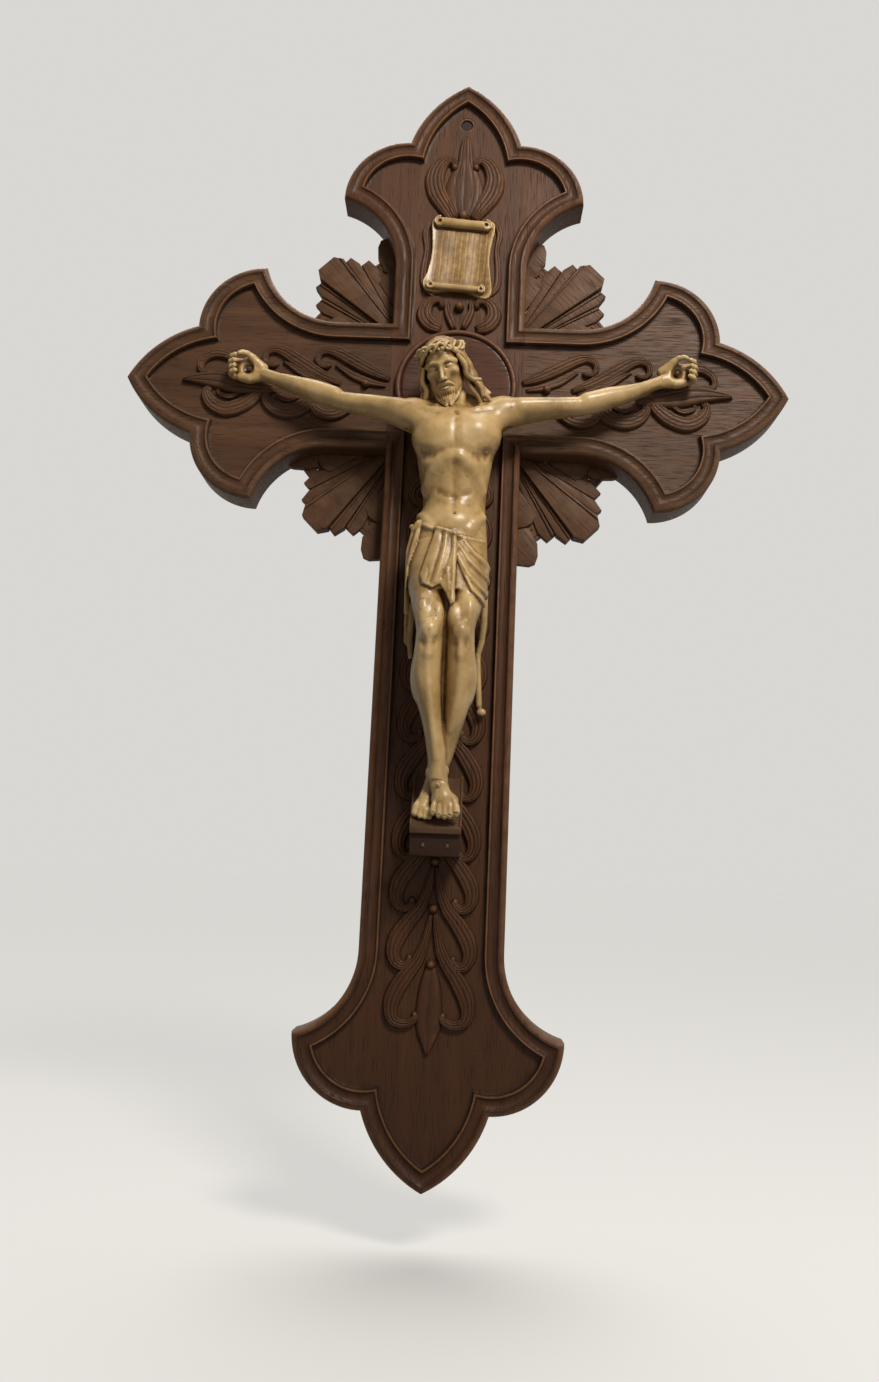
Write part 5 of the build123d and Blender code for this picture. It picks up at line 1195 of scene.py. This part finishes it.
for strand in (
    [(-10.6, 1.0, -6.6, 1.2), (-12.6, -5.0, -5.8, 1.6), (-11.6, -10.0, -6.0, 1.6), (-13.8, -15.0, -5.4, 1.6),
     (-17.0, -17.6, -4.8, 1.4), (-18.2, -15.2, -5.0, 0.9)],
    [(-11.0, -8.0, -4.0, 1.5), (-13.0, -14.0, -3.6, 1.7), (-12.2, -19.4, -4.2, 1.5), (-15.2, -22.4, -4.0, 1.2),
     (-17.4, -20.6, -4.2, 0.8)],
    [(10.4, 4.0, -7.4, 1.2), (12.6, -1.5, -6.6, 1.6), (12.4, -6.5, -6.0, 1.6), (15.4, -10.5, -5.6, 1.5),
     (19.2, -11.4, -5.0, 0.9)],
    [(12.4, -5.0, -4.4, 1.5), (16.2, -11.0, -4.4, 1.7), (16.6, -17.0, -4.2, 1.6), (20.6, -21.4, -3.8, 1.4),
     (22.4, -25.0, -3.4, 0.8)],
    [(11.6, -9.0, -4.2, 1.4), (13.4, -15.0, -4.6, 1.6), (16.0, -20.0, -4.6, 1.5), (16.4, -26.0, -4.2, 0.9)],
):
    hair_lock(strand, 18, 0.4)
HEAD_SIZE = 0.93
upright_to_leaned = (
    Matrix.Translation((-6.2, -46.4, -2.2))
    @ Matrix.Rotation(math.radians(-17), 4, "Y")
    @ Matrix.Rotation(math.radians(25), 4, "X")
    @ Matrix.Rotation(math.radians(-14), 4, "Z")
    @ Matrix.Scale(HEAD_SIZE, 4)
)


def hair_stain(x, y, z):
    """Brown left in the hair, which starts above the brow and beside the cheeks, and in the beard."""
    hair = np.clip(np.maximum(np.maximum((np.abs(x) - 9.6) / 1.4, (z - 7.0) / 2.0), y / 3.0), 0, 1)
    return 0.24 * hair + 0.12 * np.clip((-12.0 - z) / 2.0, 0, 1) * (1 - hair)


head.piece("figure_head", "corpus_body", upright_to_leaned, stain_and_shade=hair_stain)

# Crown of thorns: two wires twisted round each other into open loops and pressed over the hair, with short thorns.
# It is painted like the figure but set on as a piece of its own.
wires = Clay((-19, -20, 3), (19, 21, 18), 0.33)
for phase in (0.0, math.pi):
    ring = []
    for step in range(241):
        turn = step / 240 * math.tau
        twist = turn * 8 + phase
        reach = 1.0 + 0.09 * math.cos(twist)
        rise = 9.8 + 2.0 * math.sin(twist) + 0.8 * math.cos(turn * 2)
        ring.append((12.4 * reach * math.sin(turn), 1.4 - 14.2 * reach * math.cos(turn), rise, 0.78))
    for start in range(0, 240, 24):
        wires.cord(ring[start:start + 25], 0.3)
for thorn in range(8):
    turn = (thorn + 0.3) / 8 * math.tau
    away = Vector((math.sin(turn), -math.cos(turn), 0.55 if thorn % 2 else -0.45))
    root = Vector((13.2 * math.sin(turn), 1.4 - 15.0 * math.cos(turn), 9.8))
    tip = root + away * 1.9
    wires.cord([(*root, 0.62), (*tip, 0.18)], 0.3)
wires.piece("crown_wires", "crown_of_thorns", upright_to_leaned, plain=0.6)

# Nails of the hands and the feet: forged iron like those of the block, driven through the palms into the crossbar and
# through both feet into the block. The foot nail was painted over with the figure, so it is ivory and worn to brown.
bm = bmesh.new()
PALM = 26.9
forged_nail(bm, -111.9, 2.6, PALM, NAIL_POINT, 2.0, 1.1)
forged_nail(bm, 118.7, 8.0, PALM, NAIL_POINT, 2.0, 1.1)
bmesh.ops.recalc_face_normals(bm, faces=bm.faces)
settle(as_object(bm, "hand_forged_nails"), nail_iron, "nail_iron", "hand_nails", sharp=30)
WORN_IVORY = [(0.36, "#6b5130"), (0.55, "#a68756"), (0.7, "#bba070")]
nail_paint = speckled("forged iron nail, painted over", 1.6, 4.0, WORN_IVORY, 0.0, 0.32)[0]
bm = bmesh.new()
forged_nail(bm, 0.6, -220.6, 52.0, 22.0, 1.9, 1.2)
bmesh.ops.recalc_face_normals(bm, faces=bm.faces)
settle(as_object(bm, "foot_forged_nail"), nail_paint, "nail_iron", "foot_nail", sharp=30)

# Stage: a matt pale floor under the cross and a pale world. A soft lamp stands above in front on the right, a wide
# one overhead fills the floor, and a weak one low on the right opens the shadows.
FLOOR_UP, FLOOR_REACH = -445.0, 60000.0
bm = bmesh.new()
bmesh.ops.create_grid(bm, x_segments=1, y_segments=1, size=FLOOR_REACH, matrix=Matrix.Translation((0, 0, FLOOR_UP)))
floor = as_object(bm, "floor")


def seen_directly(tree):
    """1 for rays from the camera, also by a reflection or through glass, and 0 for rays that light the object."""
    rays = add(tree, "LightPath").outputs
    mirrored = add(tree, "Math", {0: rays["Is Glossy Ray"], 1: rays["Is Transmission Ray"]}, operation="ADD")
    either = {0: rays["Is Camera Ray"], 1: mirrored.outputs["Value"]}
    return add(tree, "Math", either, operation="ADD", use_clamp=True).outputs["Value"]


floor_paint, tree, shader = new_material("matt pale floor")
seen = seen_directly(tree)
shade = add(tree, "Mix", {"Factor": seen, "A": colour("#6a6763"), "B": colour("#918f8c")}, data_type="RGBA")
tree.links.new(shade.outputs["Result"], shader.inputs["Base Color"])
glow = add(tree, "Math", {0: seen, 1: 0.335}, operation="MULTIPLY").outputs["Value"]
tree.links.new(glow, shader.inputs["Emission Strength"])
shader.inputs["Emission Color"].default_value = colour("#fffdf8")
shader.inputs["Roughness"].default_value = 0.9
shader.inputs["Specular IOR Level"].default_value = 0.1
floor.data.materials.append(floor_paint)
world = bpy.data.worlds.new("studio")
world.use_nodes = True
bpy.context.scene.world = world
sky = world.node_tree.nodes["Background"]
sky.inputs["Color"].default_value = (1.0, 0.985, 0.945, 1.0)
SEEN_SKY, LIGHTING_SKY = 0.603, 0.09
levels = {0: seen_directly(world.node_tree), 1: SEEN_SKY, 2: LIGHTING_SKY}
strength = add(world.node_tree, "Math", levels, operation="MULTIPLY_ADD")
world.node_tree.links.new(strength.outputs["Value"], sky.inputs["Strength"])


def lamp(name, kind, at, towards, power, tint, **spread):
    """A soft lamp; spread is its size or, for a sun, its angle."""
    light = bpy.data.lights.new(name, kind)
    light.energy, light.color = power, tint
    for setting, value in spread.items():
        setattr(light, setting, value)
    made = bpy.data.objects.new(name, light)
    made.location = at
    made.rotation_euler = (Vector(towards) - Vector(at)).to_track_quat("-Z", "Y").to_euler()
    bpy.context.scene.collection.objects.link(made)


lamp("lamp above", "AREA", (0.42, -0.92, 0.55), (0.0, 0.0, -0.22), 18.5, (1.0, 0.96, 0.9), size=0.34)
lamp("lamp overhead", "SUN", (0.0, 0.0, 0.0), (0.0, -0.36, -1.0), 3.5, (1.0, 1.0, 1.0), angle=math.radians(50))
lamp("lamp low right", "AREA", (0.9, -1.1, -0.22), (0.0, 0.0, -0.25), 1.6, (0.98, 0.99, 1.0), size=0.55)

# Camera: where the photograph was taken from, a little right of the middle, low on the shaft and looking up.
# Its place, tilt and lens were fitted to the outline of the cross.
PICTURE_TALL, FOCAL_PIXELS, FILM = 1382, 1080, 36.0
pitch, yaw, roll = math.radians(9.702), math.radians(-1.325), math.radians(2.516)
ahead = Vector((math.sin(yaw) * math.cos(pitch), math.cos(yaw) * math.cos(pitch), math.sin(pitch)))
level_right = Vector((math.cos(yaw), -math.sin(yaw), 0))
above = level_right.cross(ahead)
axis_x = level_right * math.cos(roll) + above * math.sin(roll)
axis_y = above * math.cos(roll) - level_right * math.sin(roll)
lens = bpy.data.cameras.new("camera")
lens.sensor_fit, lens.sensor_height, lens.sensor_width = "VERTICAL", FILM, FILM
lens.lens = FOCAL_PIXELS / PICTURE_TALL * FILM
lens.clip_start = 0.01
camera = bpy.data.objects.new("camera", lens)
turn = Matrix((axis_x, axis_y, -ahead)).transposed().to_4x4()
camera.matrix_world = Matrix.Translation((0.0112, -0.5717, -0.4242)) @ turn
bpy.context.scene.collection.objects.link(camera)
bpy.context.scene.camera = camera
bpy.context.scene.view_settings.view_transform = "Standard"
